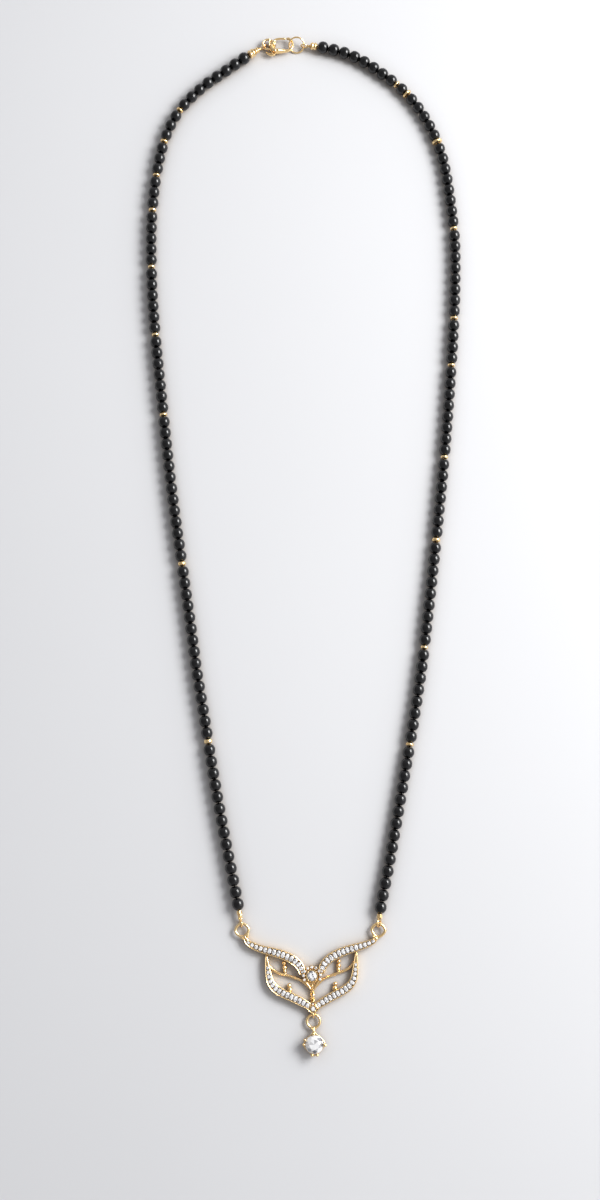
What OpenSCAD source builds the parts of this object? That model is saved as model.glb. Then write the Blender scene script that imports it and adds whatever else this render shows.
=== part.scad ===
/* [Bead strings] */
// Diameter of a black bead across its hole
bead_d = 3.1; // [2.7:0.05:3.4]
// Length of a black bead along the string
bead_len = 2.92; // [2.5:0.02:3.2]
// Diameter of the larger beads next to the clasp
end_bead_d = 3.4; // [3.1:0.05:3.7]
// Length of string at the clasp over which the beads grow
end_bead_run = 26; // [10:1:60]
// Smallest gap between two neighbours on a string
bead_gap = 0.14; // [0.12:0.01:0.2]
// Diameter of the drilled hole of a bead or spacer
bead_hole_d = 0.8; // [0.7:0.05:1]
// Diameter of the thread
thread_d = 0.4; // [0.3:0.05:0.45]
// Diameter of a plain gold spacer
spacer_d = 2.1; // [1.6:0.05:2.6]
// Length of a plain gold spacer along the string
spacer_len = 0.8; // [0.5:0.05:1.2]

/* [Pendant frame] */
// Distance from the centre stone to the middle of each eyelet, sideways
eyelet_reach = 17.3; // [15.5:0.1:19]
// Height of the eyelets above the centre stone
eyelet_rise = 11.35; // [10.5:0.05:12.5]
// Distance that the left eyelet is bent up and the right one down
eyelet_bend = 0.6; // [0:0.1:0.8]
// Half width of the wings at their lower lobes
wing_reach = 11.3; // [10.3:0.1:12]
// Distance from the centre stone down to the middle of the tip stone
tip_drop = 8.1; // [7.6:0.1:8.8]
// Widest part of the upper arms
upper_arm_w = 2.3; // [2:0.05:2.6]
// Widest part of the lower arms
lower_arm_w = 2.2; // [1.9:0.05:2.4]
// Thickness of the arms
frame_h = 1.8; // [1.6:0.05:2.2]
// Width of the rims beside the stones
rim_w = 0.26; // [0.2:0.02:0.34]
// Depth of the stone channel below the rims
channel_depth = 0.55; // [0.45:0.05:0.7]
// Width of the polished vein bars
vein_w = 0.65; // [0.5:0.05:0.9]
// Thickness of the vein bars
vein_h = 0.8; // [0.6:0.05:1.1]
// Outer diameter of an eyelet
eyelet_d = 4; // [3.7:0.05:4.4]
// Wire diameter of an eyelet
eyelet_wire = 0.7; // [0.6:0.05:0.75]
// Turn of the pendant as it lies, counter-clockwise in degrees
pendant_turn = 2; // [-4:0.5:4]

/* [Stones] */
// Length of a small channel stone along its arm
small_stone_len = 0.98; // [0.8:0.02:1]
// Spacing of the small channel stones along an arm
small_stone_pitch = 1.12; // [1.1:0.02:1.4]
// Gap between a stone and its metal
stone_gap = 0.05; // [0.04:0.01:0.08]
// Diameter of the centre stone
centre_stone_d = 2.4; // [2:0.05:2.6]
// Diameter of the tip stone
tip_stone_d = 1.3; // [1:0.05:1.4]
// Diameter of the drop stone
drop_stone_d = 4.6; // [4.2:0.05:5]

/* [Drop] */
// Outer diameter of the ring that the drop hangs on
drop_ring_d = 3.9; // [3.6:0.05:4.3]
// Wire diameter of that ring
drop_ring_wire = 0.65; // [0.55:0.05:0.7]
// Length of the neck between the ring and the drop stone's girdle
drop_neck = 1.35; // [1:0.05:2]
// Wire diameter of the prongs
prong_wire = 0.5; // [0.4:0.05:0.6]
// Wire diameter of the loop under the frame's tip
bail_wire = 0.4; // [0.35:0.05:0.5]

/* [Clasp] */
// Outer diameter of the clasp's tail ring
tail_ring_d = 3.5; // [3.3:0.05:3.8]
// Wire diameter of the tail ring
tail_ring_wire = 0.6; // [0.5:0.05:0.7]
// Distance from the pivot to the middle of the bowl's wire
claw_reach = 5.4; // [5.2:0.05:5.8]
// Distance of the spine and of the gate from the clasp's middle line
claw_half_w = 1.85; // [1.75:0.05:2.1]
// Width of the claw's spine
spine_w = 1.1; // [0.9:0.05:1.3]
// Width of the claw's bowl and nose
bowl_w = 0.6; // [0.5:0.05:0.65]
// Thickness of the claw's bowl, nose and gate
bowl_h = 0.5; // [0.4:0.05:0.55]
// Thickness of the clasp at its pivot
clasp_h = 2.2; // [1.9:0.05:2.4]
// Diameter of the pivot pin
pin_d = 0.5; // [0.4:0.05:0.55]
// Gap all round the pin in the lever's bore
pin_gap = 0.05; // [0.03:0.01:0.08]
// Thickness of the lever where it runs in the clasp's slot
lever_h = 0.5; // [0.4:0.05:0.6]
// Outer diameter of the jump ring
jump_ring_d = 4.6; // [4.4:0.05:4.8]
// Wire diameter of the jump ring
jump_ring_wire = 0.45; // [0.4:0.01:0.47]
// Outer diameter of the small end loops of the strings
end_loop_d = 2.2; // [2.1:0.05:2.3]
// Wire diameter of the end loops
end_loop_wire = 0.4; // [0.35:0.01:0.42]

/* [Hidden] */
$fn = 64;
eps = 0.01;

gold = "goldenrod";
black = [0.06, 0.06, 0.07];
clear = [0.9, 0.93, 0.96];

// Places on the surface are in millimetres from the point under the middle of the picture.
pendant_at = [3, -96.6];
tail_ring_at = [-8.9, 157.1];

// The laid route of each string, from the first bead at the pendant to the last at the clasp
route_left = [
    [-15.8, -78.7], [-18.2, -67], [-20.6, -55], [-22.8, -43], [-24.8, -31], [-26.8, -19.5], [-28.6, -7],
    [-30.5, 5.5], [-32.4, 18], [-34.2, 30.5], [-35.8, 43.5], [-37.3, 56.5], [-38.7, 69], [-39.9, 82],
    [-40.5, 94.5], [-40.5, 106], [-39.5, 118], [-37.2, 129], [-33.3, 137.3], [-27, 144.2], [-21, 148.7],
    [-15.9, 152.5]
];
route_right = [
    [20.5, -79.7], [23, -67.5], [25.4, -54.5], [27.7, -42], [29.9, -29.5], [31.9, -17], [33.5, -4.5],
    [35.1, 8.5], [36.6, 21.5], [38, 34], [39.3, 47], [40.4, 60], [41.4, 73], [42.1, 86],
    [42.2, 99], [41.1, 111.5], [39.2, 123.5], [35.2, 134], [29.5, 142.3], [22.2, 148.7], [14.8, 153.4],
    [7.3, 155.8]
];

// Gold spacers: beads below it, and shares of the plain spacer's length and diameter
spacers_on_left = [
    [14, 1.5, 1.05], [29, 1.4, 1], [42, 1, 1], [49, 1, 0.95], [55, 1, 0.9],
    [60, 1.1, 1], [63, 0.9, 0.95], [66, 1, 1], [69, 1, 0.95]
];
spacers_on_right = [
    [14, 1.1, 1], [22, 1, 0.95], [31, 1.3, 1.05], [38, 1, 0.95], [46, 0.9, 0.95],
    [50, 1, 1], [58, 1, 0.95], [66, 1.1, 1.4], [71, 1, 1.3], [72, 0.8, 1]
];

// Gold pieces on the ends of the strings: start from the middle of the end loop, length, diameter
crimp_left = [[1.3, 1.9, 1.4]];
crimp_right = [[1.2, 1.1, 1.4]];
double_cup = [[1.5, 1.5, 1.7], [2.85, 2, 2.4]];
single_cup = [[1.7, 1.9, 2.1]];

// Upper arm from eyelet to centre: sideways share, height share and width share
upper_arm_rows = [
    [0.955, 0.815, 0.42], [0.92, 0.745, 0.6], [0.835, 0.675, 0.76], [0.73, 0.617, 0.84],
    [0.613, 0.569, 0.92], [0.497, 0.52, 0.98], [0.387, 0.458, 1], [0.286, 0.379, 1], [0.205, 0.277, 0.95], [0.157, 0.167, 0.85],
    [0.142, 0.062, 0.7]
];
// Lower arm from the upper arm to the tip: shares of the wing's reach, the tip's drop and the arm's width
lower_arm_rows = [
    [1.005, 0.62, 0.3], [0.995, 0.43, 0.48], [0.975, 0.16, 0.7], [0.935, -0.125, 0.84],
    [0.835, -0.335, 0.95], [0.665, -0.495, 1], [0.46, -0.63, 1], [0.262, -0.775, 0.97], [0.115, -0.895, 0.85], [0.03, -0.97, 0.7]
];
// Vein bar from the upper arm to the stem: shares of the wing's reach and the tip's drop
vein_rows = [
    [1.01, 0.7], [0.982, 0.44], [0.885, 0.25], [0.743, 0.125], [0.566, 0.047], [0.398, -0.035],
    [0.245, -0.125], [0.128, -0.265], [0.01, -0.42]
];
// Pips from their upper ball to their lower one: shares of the wing's reach and the tip's drop, and radius
upper_pip = [[0.612, 0.415, 0.5], [0.605, 0.28, 0.58], [0.599, 0.165, 0.44], [0.594, 0.075, 0.32]];
lower_pip = [[0.515, -0.27, 0.52], [0.503, -0.4, 0.6], [0.492, -0.52, 0.42]];
// Prongs of the drop: angle, wire share and ball share
prongs = [[92, 1, 1.5], [178, 0.8, 1.2], [152, 0.8, 1.2], [256, 0.8, 1.3], [284, 0.8, 1.3], [356, 1, 1.7]];

// Heights in the frame
channel_floor = frame_h - channel_depth;
small_girdle_z = frame_h - 0.22;
small_crown = 0.3;
small_pavilion = 0.45;
small_girdle = 0.08;
seat_share = 0.45;
upper_channel = [0.5, 0.55];
eyelet_z = 1.12;
eyelet_r = (eyelet_d - eyelet_wire) / 2;
vein_z = 0.35;
vein_mid_z = vein_z + vein_h / 2;
pip_stem = 0.36;
arm_steps = 3;

// The centre setting: a cup with claws in a scalloped halo
cup_r = centre_stone_d / 2 + 0.36;
halo_r = 2.1;
halo_h = 1.45;
lobe_d = 0.85;
lobes = 9;
lobe_start = -25;
centre_girdle_z = frame_h + 0.05;
claw_d = 0.42;
claw_room = 1;
claw_rise = 0.2;
stem_d = 0.8;
stem_top = -0.39 * tip_drop;
wrap_shares = [0.3, 0.55, 0.8];
wrap_slope = 35;
halo_shares = [0.92, -0.4];
web_foot = [0.3, 0.25];
web_grain_y = 0.84 * stem_top;

// The tip and the drop
tip_disc_r = tip_stone_d / 2 + stone_gap + rim_w;
lower_channel = [2.1, tip_disc_r - 0.3];
bail_r = drop_ring_wire / 2 + 0.2 + bail_wire / 2;
bail_z = bail_r + bail_wire / 2;
bail_y = -tip_drop - tip_disc_r - 0.15 - drop_ring_wire / 2;
drop_ring_r = (drop_ring_d - drop_ring_wire) / 2;
drop_ring_y = bail_y - drop_ring_r;
drop_y = drop_ring_y - drop_ring_d / 2 - drop_neck - drop_stone_d / 2;
drop_girdle_z = 0.43 * drop_stone_d + 0.4;
prong_reach = drop_stone_d / 2 + stone_gap + prong_wire / 2 + 0.08;
gallery_half = drop_stone_d / 2 - 0.1;
gallery_wire = 0.42;
gallery_z = drop_girdle_z - 1.1;
gallery_corner_r = prong_reach + 0.1;
base_r = 0.26 * drop_stone_d;
base_wire = 1.15 * prong_wire;
neck_wire = 0.85 * drop_ring_wire;
knee_drop = 0.1;
ball_rise = 0.35;
ball_share = 0.98;

// The clasp, from its middle line
clasp_z = 1.38;
tail_ring_r = (tail_ring_d - tail_ring_wire) / 2;
clasp_y = tail_ring_at[1] - 0.2;
pivot_at = [tail_ring_at[0] + tail_ring_r - 0.05, clasp_y + 0.1];
bowl_x = pivot_at[0] + claw_reach;
slot_h = lever_h + 0.2;
slot_wall_x = -0.72;
slot_end_x = 0.75;
hub_d = pin_d + 2 * pin_gap + 0.56;
cheek_d = hub_d + 0.3;
gate_w = 0.55;
tab_h = 0.8;
jump_ring_r = (jump_ring_d - jump_ring_wire) / 2;
jump_ring_tilt = 33;
jump_ring_slack = 0.4;
jump_ring_at = [bowl_x - bowl_w / 2 - jump_ring_slack - jump_ring_wire / 2 + jump_ring_r, clasp_y];
jump_ring_z = clasp_z;

// The clasp's lines, from the pivot
spine_y = -claw_half_w - 0.1;
top_y = claw_half_w - 0.1;
gate_bow = 0.05;
nose_x = claw_reach - 1.3;

// The end loops, each with its middle just outside the middle of the wire that it holds
end_loop_r = (end_loop_d - end_loop_wire) / 2;
end_loop_roll = [15, 30];
loop_slack = 0.1;
thread_inset = 0.3;
end_slope = 17;
thread_step = 3;
bore_inset = 0.45;

// Sums, smooth curves and places along them

function total(list, i = 0) = i < len(list) ? list[i] + total(list, i + 1) : 0;
function flat(p) = [p[0], p[1]];
function pull(from, towards, d) = from + (towards - from) * d / norm(towards - from);
function last(list) = list[len(list) - 1];

function between(a, b, c, d, t) =
    (2 * b + (c - a) * t + (2 * a - 5 * b + 4 * c - d) * t * t + (3 * b - a - 3 * c + d) * t * t * t) / 2;

function smoothed(p, steps) = [
    for (i = [0 : len(p) - 2], k = [0 : steps - 1])
        between(p[max(i - 1, 0)], p[i], p[i + 1], p[min(i + 2, len(p) - 1)], k / steps),
    last(p)
];

function distances(p) = [
    for (i = 0, s = 0; i < len(p); i = i + 1, s = s + (i < len(p) ? norm(flat(p[i]) - flat(p[i - 1])) : 0)) s
];

// A walk along a curve: its length, and one table for each coordinate against the distance along it
function walk(p) =
    let (s = distances(p))
    [last(s), [for (axis = [0 : len(p[0]) - 1]) [for (i = [0 : len(p) - 1]) [s[i], p[i][axis]]]]];

function walk_at(w, s) = [for (table = w[1]) lookup(s, table)];
function walk_heading(w, s) =
    let (a = walk_at(w, max(s - 0.4, 0)), b = walk_at(w, min(s + 0.4, w[0])))
    atan2(b[1] - a[1], b[0] - a[0]);

// Points of [x, y, width] give the outline of an arm, less a rim on each side.
function arm_outline(p, rim = 0, start = 0, end = 0) =
    let (
        w = walk(p),
        n = len(p),
        side = function (sign) [
            for (i = [0 : n])
                let (
                    s = start + (w[0] - start - end) * i / n,
                    c = walk_at(w, s),
                    a = walk_heading(w, s),
                    half = c[2] / 2 - rim
                )
                [c[0] - sign * half * sin(a), c[1] + sign * half * cos(a)]
        ],
        left = side(1),
        right = side(-1)
    )
    concat(left, [for (i = [n : -1 : 0]) right[i]]);

// The pendant's curves; the eyelets are bent apart by a share that only their ends feel.

function eyelet_shift(side, share) = -side * eyelet_bend * pow(share, 6);
function eyelet_at(side) = [side * eyelet_reach, eyelet_rise + eyelet_shift(side, 1)];
function upper_arm(side) = smoothed([
    for (r = upper_arm_rows)
        [side * r[0] * eyelet_reach, r[1] * eyelet_rise + eyelet_shift(side, r[0]), r[2] * upper_arm_w]
], arm_steps);
function lower_arm(side) = smoothed([
    for (r = lower_arm_rows) [side * r[0] * wing_reach, r[1] * tip_drop, r[2] * lower_arm_w]
], arm_steps);
function vein(side) = smoothed([
    for (r = vein_rows) [side * r[0] * wing_reach, r[1] * tip_drop, vein_w]
], arm_steps);

function turned(p, angle) = [p[0] * cos(angle) - p[1] * sin(angle), p[0] * sin(angle) + p[1] * cos(angle)];
function on_surface(p) = pendant_at + turned(p, pendant_turn);

// The strings run from the eyelets to the tail ring and the jump ring.

function string_route(side, route, holder, holder_r) = concat(
    [pull(on_surface(eyelet_at(side)), route[0], eyelet_r + loop_slack)],
    route,
    [pull(holder, last(route), holder_r + loop_slack)]
);
function pieces_len(pieces) = last(pieces)[0] + last(pieces)[1];

// A string's plan: its walk, the number of beads, the even gap that fills the run, its spacers
// and its end pieces
function string_plan(route, rows, first_pieces, last_pieces) =
    let (
        w = walk(smoothed(route, 8)),
        run = w[0] - pieces_len(first_pieces) - pieces_len(last_pieces),
        gold_len = total([for (r = rows) r[1] * spacer_len]),
        n = floor((run - gold_len - (len(rows) + 1) * bead_gap) / (bead_len + bead_gap)),
        gap = (run - gold_len - n * bead_len) / (n + len(rows) + 1)
    )
    [w, n, gap, rows, first_pieces, last_pieces];

left_plan = string_plan(
    string_route(-1, route_left, tail_ring_at, tail_ring_r), spacers_on_left, crimp_left, double_cup
);
right_plan = string_plan(
    string_route(1, route_right, jump_ring_at, jump_ring_r), spacers_on_right, crimp_right, single_cup
);

// Distance along the string to the near face of what follows a number of beads and the given spacers
function along(plan, beads, passed) =
    pieces_len(plan[4]) + plan[2] + beads * (bead_len + plan[2])
        + total([for (r = passed) r[1] * spacer_len + plan[2]]);
function bead_s(plan, i) = along(plan, i, [for (r = plan[3]) if (r[0] <= i) r]) + bead_len / 2;
function spacer_s(plan, row) =
    along(plan, row[0], [for (r = plan[3]) if (r[0] < row[0]) r]) + row[1] * spacer_len / 2;

// Beads grow evenly towards the clasp, and the string lies as high as their middles.
function growth(w, s) = min(max(1.2 - (w[0] - s) / end_bead_run, 0), 1);
function bead_size(w, s) = bead_d + (end_bead_d - bead_d) * growth(w, s);
function string_z(w, s) = bead_size(w, s) / 2;

// The whole thing lies over the origin by the middle of its own box.
function values(w, axis) = [for (row = w[1][axis]) row[1]];
foot_prong = prongs[3];
foot_ball = ball_share * prong_reach * [cos(foot_prong[0]), sin(foot_prong[0])];
drop_foot = on_surface([0, drop_y] + foot_ball) - [0, foot_prong[2] * prong_wire / 2];
box_low = [min(values(left_plan[0], 0)) - bead_d / 2, drop_foot[1]];
box_high = [max(values(right_plan[0], 0)) + bead_d / 2, pivot_at[1] + top_y + gate_bow + gate_w / 2];
middle = (box_low + box_high) / 2;

module settled() {
    translate([-middle[0], -middle[1], 0]) children();
}

module on_pendant() {
    settled() translate([pendant_at[0], pendant_at[1], 0]) rotate(pendant_turn) children();
}

module torus(r, wire) {
    rotate_extrude() translate([r, 0]) circle(d = wire);
}

module rod(from, to, d) {
    v = to - from;
    translate(from) rotate([0, acos(v[2] / norm(v)), atan2(v[1], v[0])]) cylinder(d = d, h = norm(v));
}

// A ring that stands on edge, its plane along X
module edge_loop(r, wire) {
    rotate([90, 0, 0]) torus(r, wire);
}

// Stones

// An oval stone: eight-sided table, eight crown facets, a thin girdle and eight pavilion facets
module small_stone(length, across) {
    ring = function (share, z) [
        for (i = [0 : 7]) [
            share * length / 2 * cos(22.5 + 45 * i), share * across / 2 * sin(22.5 + 45 * i), z
        ]
    ];
    points = concat(
        ring(0.6, small_crown), ring(1, small_girdle / 2), ring(1, -small_girdle / 2),
        [[0, 0, -small_pavilion]]
    );
    faces = concat(
        [[7, 6, 5, 4, 3, 2, 1, 0]],
        [for (k = [0, 8], i = [0 : 7]) [k + i, k + (i + 1) % 8, k + 8 + (i + 1) % 8, k + 8 + i]],
        [for (i = [0 : 7]) [16 + i, 16 + (i + 1) % 8, 24]]
    );
    polyhedron(points, faces);
}

// Proportions of a round brilliant, as shares of its diameter
table_share = 0.56;
crown_share = 0.15;
girdle_share = 0.02;
pavilion_share = 0.43;

// A round brilliant: table, stars, kites, upper and lower girdle facets and eight pavilion mains
module brilliant(d) {
    r = d / 2;
    crown = crown_share * d;
    girdle = girdle_share * d;
    pavilion = pavilion_share * d;
    table_r = table_share * r;
    star_r = 0.78 * r;
    low_r = 0.3 * r;
    star_z = crown * (r - star_r * cos(22.5)) / (r - table_r);
    low_z = -pavilion * (1 - low_r * cos(22.5) / r);
    ring = function (n, start, radius, z) [
        for (i = [0 : n - 1]) [radius * cos(start + 360 / n * i), radius * sin(start + 360 / n * i), z]
    ];
    points = concat(
        ring(8, 0, table_r, crown), ring(8, 22.5, star_r, star_z), ring(16, 0, r, 0),
        ring(16, 0, r, -girdle), ring(8, 22.5, low_r, low_z - girdle), [[0, 0, -pavilion - girdle]]
    );
    faces = concat(
        [[7, 6, 5, 4, 3, 2, 1, 0]],
        [for (i = [0 : 7]) [i, (i + 1) % 8, 8 + i]],
        [for (i = [0 : 7]) [i, 8 + i, 16 + 2 * i, 8 + (i + 7) % 8]],
        [for (i = [0 : 7]) [8 + i, 17 + 2 * i, 16 + 2 * i]],
        [for (i = [0 : 7]) [8 + i, 16 + (2 * i + 2) % 16, 17 + 2 * i]],
        [for (i = [0 : 15]) [16 + i, 16 + (i + 1) % 16, 32 + (i + 1) % 16, 32 + i]],
        [for (i = [0 : 7]) [32 + 2 * i, 33 + 2 * i, 48 + i]],
        [for (i = [0 : 7]) [33 + 2 * i, 32 + (2 * i + 2) % 16, 48 + i]],
        [for (i = [0 : 7]) [32 + 2 * i, 48 + i, 56, 48 + (i + 7) % 8]]
    );
    polyhedron(points, faces);
}

// The room that a brilliant needs with its gap, cut from the metal that holds it
module stone_room(d) {
    r = d / 2 + stone_gap;
    slope = stone_gap * 2;
    translate([0, 0, -eps]) cylinder(r1 = r, r2 = r * table_share + slope, h = crown_share * d + slope);
    translate([0, 0, -girdle_share * d - eps]) cylinder(r = r, h = girdle_share * d + 3 * eps);
    translate([0, 0, -(girdle_share + pavilion_share) * d - slope])
        cylinder(r1 = slope, r2 = r, h = pavilion_share * d + slope);
}

// Small stones in the channel of one arm: distance, length and width of each
function stone_rows(arm, channel) =
    let (
        w = walk(arm),
        run = w[0] - channel[0] - channel[1] - 2 * stone_gap,
        n = floor(run / small_stone_pitch)
    )
    [
        for (i = [0 : n - 1])
            let (
                s = channel[0] + stone_gap + run * (i + 0.5) / n,
                across = walk_at(w, s)[2] - 2 * (rim_w + stone_gap)
            )
            [s, min(small_stone_len, 1.2 * across), across]
    ];

module place_on_arm(arm, s) {
    w = walk(arm);
    p = walk_at(w, s);
    translate([p[0], p[1], 0]) rotate(walk_heading(w, s)) children();
}

module small_stones(side) {
    on_pendant() color(clear)
        for (a = [[upper_arm(side), upper_channel], [lower_arm(side), lower_channel]])
            for (row = stone_rows(a[0], a[1]))
                place_on_arm(a[0], row[0]) translate([0, 0, small_girdle_z]) small_stone(row[1], row[2]);
}

module centre_stone() {
    on_pendant() color(clear) translate([0, 0, centre_girdle_z]) brilliant(centre_stone_d);
}

module tip_stone() {
    on_pendant() color(clear)
        translate([0, -tip_drop, small_girdle_z]) small_stone(tip_stone_d, tip_stone_d);
}

module drop_stone() {
    on_pendant() color(clear) translate([0, drop_y, drop_girdle_z]) brilliant(drop_stone_d);
}

// The pendant frame

function seat_hole_d(across) = seat_share * across + 2 * stone_gap;

module arm(points, channel) {
    difference() {
        linear_extrude(frame_h) polygon(arm_outline(points));
        translate([0, 0, channel_floor])
            linear_extrude(channel_depth + 1)
                polygon(arm_outline(points, rim_w, channel[0], channel[1]));
        for (row = stone_rows(points, channel))
            place_on_arm(points, row[0])
                translate([0, 0, -1]) cylinder(d = seat_hole_d(row[2]), h = frame_h + 1);
    }
}

module eyelet(side) {
    at = eyelet_at(side);
    arm_start = flat(upper_arm(side)[2]);
    rim = pull(at, arm_start, eyelet_r);
    translate([at[0], at[1], eyelet_z]) torus(eyelet_r, eyelet_wire);
    rod([rim[0], rim[1], eyelet_z], [arm_start[0], arm_start[1], eyelet_z], 0.9 * eyelet_wire);
}

module vein_bar(side) {
    translate([0, 0, vein_z]) linear_extrude(vein_h) polygon(arm_outline(vein(side)));
}

// Balls of [sideways share, height share, radius] on a stem that ends in the lowest
module pip(side, balls) {
    places = [for (b = balls) [side * b[0] * wing_reach, b[1] * tip_drop, vein_mid_z]];
    for (i = [0 : len(balls) - 1]) translate(places[i]) sphere(r = balls[i][2]);
    rod(last(places), places[0], pip_stem);
}

module stem() {
    foot = tip_disc_r * 0.6 - tip_drop;
    rod([0, stem_top, vein_mid_z], [0, foot, vein_mid_z], stem_d);
    for (share = wrap_shares)
        translate([0, stem_top + (foot - stem_top) * share, vein_mid_z])
            rotate([90, 0, wrap_slope]) torus(stem_d * 0.5, stem_d * 0.55);
}

// The cup of the centre stone in its scalloped halo, with a web that points down to the stem
module centre_setting() {
    difference() {
        union() {
            cylinder(r = halo_r, h = halo_h);
            cylinder(r = cup_r, h = centre_girdle_z);
            linear_extrude(halo_h)
                polygon([
                    [-halo_shares[0] * halo_r, halo_shares[1] * halo_r],
                    [-web_foot[0], stem_top - web_foot[1]],
                    [web_foot[0], stem_top - web_foot[1]],
                    [halo_shares[0] * halo_r, halo_shares[1] * halo_r]
                ]);
            for (i = [0 : lobes - 1])
                rotate(lobe_start + (180 - 2 * lobe_start) * i / (lobes - 1))
                    translate([halo_r + 0.05, 0, 0]) cylinder(d = lobe_d, h = halo_h + 0.2);
            translate([0, web_grain_y, 0]) cylinder(d = lobe_d, h = halo_h + 0.2);
        }
        translate([0, 0, centre_girdle_z]) stone_room(centre_stone_d);
        translate([0, 0, -1]) cylinder(d = seat_hole_d(centre_stone_d), h = frame_h);
    }
    difference() {
        for (a = [45 : 90 : 315]) rotate(a) {
            translate([cup_r - 0.1, 0, centre_girdle_z - claw_room])
                cylinder(d = claw_d, h = claw_room + claw_rise);
            translate([cup_r - 0.13, 0, centre_girdle_z + claw_rise]) sphere(d = claw_d * 1.15);
        }
        translate([0, 0, centre_girdle_z]) stone_room(centre_stone_d);
    }
}

module tip() {
    difference() {
        translate([0, -tip_drop, 0]) cylinder(r = tip_disc_r, h = frame_h);
        translate([0, -tip_drop, channel_floor]) cylinder(r = tip_stone_d / 2 + stone_gap, h = frame_h);
        translate([0, -tip_drop, -1]) cylinder(d = seat_hole_d(tip_stone_d), h = frame_h + 1);
    }
    difference() {
        translate([0, bail_y, bail_z]) rotate(90) edge_loop(bail_r, bail_wire);
        translate([0, -tip_drop, -1]) cylinder(r = tip_disc_r - rim_w / 2, h = frame_h + 2);
    }
}

module frame() {
    on_pendant() color(gold) {
        for (side = [-1, 1]) {
            arm(upper_arm(side), upper_channel);
            difference() {
                arm(lower_arm(side), lower_channel);
                translate([0, -tip_drop, -1]) cylinder(r = tip_disc_r - rim_w / 2, h = frame_h + 2);
            }
            eyelet(side);
            vein_bar(side);
            pip(side, upper_pip);
            pip(side, lower_pip);
        }
        stem();
        centre_setting();
        tip();
    }
}

// The drop

// A square gallery on its corner over a small base ring, with leaning prongs that end in balls
module basket() {
    intersection() {
        translate([0, 0, gallery_z]) rotate(45) difference() {
            translate([-gallery_half, -gallery_half, 0])
                cube([2 * gallery_half, 2 * gallery_half, gallery_wire]);
            translate([gallery_wire - gallery_half, gallery_wire - gallery_half, -1])
                cube([2 * (gallery_half - gallery_wire), 2 * (gallery_half - gallery_wire), 3]);
        }
        cylinder(r = gallery_corner_r, h = 2 * gallery_z + 2);
    }
    translate([0, 0, base_wire / 2]) torus(base_r, base_wire);
    for (p = prongs) {
        out = [cos(p[0]), sin(p[0]), 0];
        foot = out * base_r + [0, 0, base_wire / 2];
        knee = out * prong_reach + [0, 0, drop_girdle_z - knee_drop];
        top = out * prong_reach * ball_share + [0, 0, drop_girdle_z + ball_rise];
        rod(foot, knee, prong_wire * p[1]);
        translate(knee) sphere(d = prong_wire * p[1] * 1.12);
        rod(knee, top, prong_wire * p[1]);
        translate(top) sphere(d = prong_wire * p[2]);
    }
}

module drop_setting() {
    on_pendant() color(gold) {
        translate([0, drop_ring_y, bail_z]) torus(drop_ring_r, drop_ring_wire);
        rod(
            [0, drop_ring_y - drop_ring_r, bail_z],
            [0, drop_y + 1.15 * gallery_half, gallery_z + gallery_wire / 2],
            neck_wire
        );
        translate([0, drop_y, 0]) basket();
    }
}

// Black beads, gold spacers and threads

// A round bead drilled along X, its ends flat round the hole and sloped out to the ball
module drilled(d, length) {
    flat_r = bead_hole_d / 2 + 0.06;
    half = length / 2;
    slope = (d / 2 + 1 - flat_r) * tan(end_slope);
    rotate([0, 90, 0]) rotate_extrude() intersection() {
        circle(d = d);
        polygon([
            [bead_hole_d / 2, -half], [flat_r, -half], [d / 2 + 1, slope - half], [d / 2 + 1, half - slope],
            [flat_r, half], [bead_hole_d / 2, half]
        ]);
    }
}

module on_string(w, s) {
    p = walk_at(w, s);
    settled() translate([p[0], p[1], string_z(w, s)]) rotate(walk_heading(w, s)) children();
}

module beads(plan) {
    w = plan[0];
    color(black) for (i = [0 : plan[1] - 1]) {
        s = bead_s(plan, i);
        on_string(w, s) drilled(bead_size(w, s), bead_len);
    }
}

module spacers(plan) {
    color(gold) for (row = plan[3])
        on_string(plan[0], spacer_s(plan, row)) drilled(row[2] * spacer_d, row[1] * spacer_len);
}

// An eight-sided tube through the beads, from inside one end piece to inside the other
module thread(plan) {
    w = plan[0];
    start = plan[4][0][0] + bore_inset + thread_inset;
    end = w[0] - plan[5][0][0] - bore_inset - thread_inset;
    rings = ceil((end - start) / thread_step);
    points = [
        for (i = [0 : rings], k = [0 : 7])
            let (s = start + (end - start) * i / rings, p = walk_at(w, s), a = walk_heading(w, s))
            [
                p[0] - thread_d / 2 * cos(45 * k) * sin(a),
                p[1] + thread_d / 2 * cos(45 * k) * cos(a),
                string_z(w, s) + thread_d / 2 * sin(45 * k)
            ]
    ];
    faces = concat(
        [[for (k = [0 : 7]) k]],
        [for (i = [0 : rings - 1], k = [0 : 7])
            [8 * i + k, 8 * i + 8 + k, 8 * i + 8 + (k + 1) % 8, 8 * i + (k + 1) % 8]],
        [[for (k = [7 : -1 : 0]) 8 * rings + k]]
    );
    settled() color(black) polyhedron(points, faces);
}

// An end loop on edge, with the gold pieces between it and the first bead drilled for the thread
module end_link(at, towards, thread_z, pieces, loop_z, roll) {
    v = towards - at;
    first = pieces[0];
    settled() color(gold) translate([at[0], at[1], 0]) rotate(atan2(v[1], v[0])) {
        translate([0, 0, loop_z]) rotate([roll, 0, 0]) edge_loop(end_loop_r, end_loop_wire);
        difference() {
            union() {
                rod([end_loop_r, 0, loop_z], [first[0] + 0.25, 0, thread_z], end_loop_wire * 1.4);
                for (p = pieces)
                    translate([p[0] + p[1] / 2, 0, thread_z]) rotate([0, 90, 0])
                        intersection() {
                            sphere(d = 0.9 * norm([p[1], p[2]]));
                            cylinder(d = p[2], h = p[1], center = true);
                        }
            }
            translate([first[0] + bore_inset, 0, thread_z]) rotate([0, 90, 0])
                cylinder(d = bead_hole_d, h = pieces_len(pieces));
        }
    }
}

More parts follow.
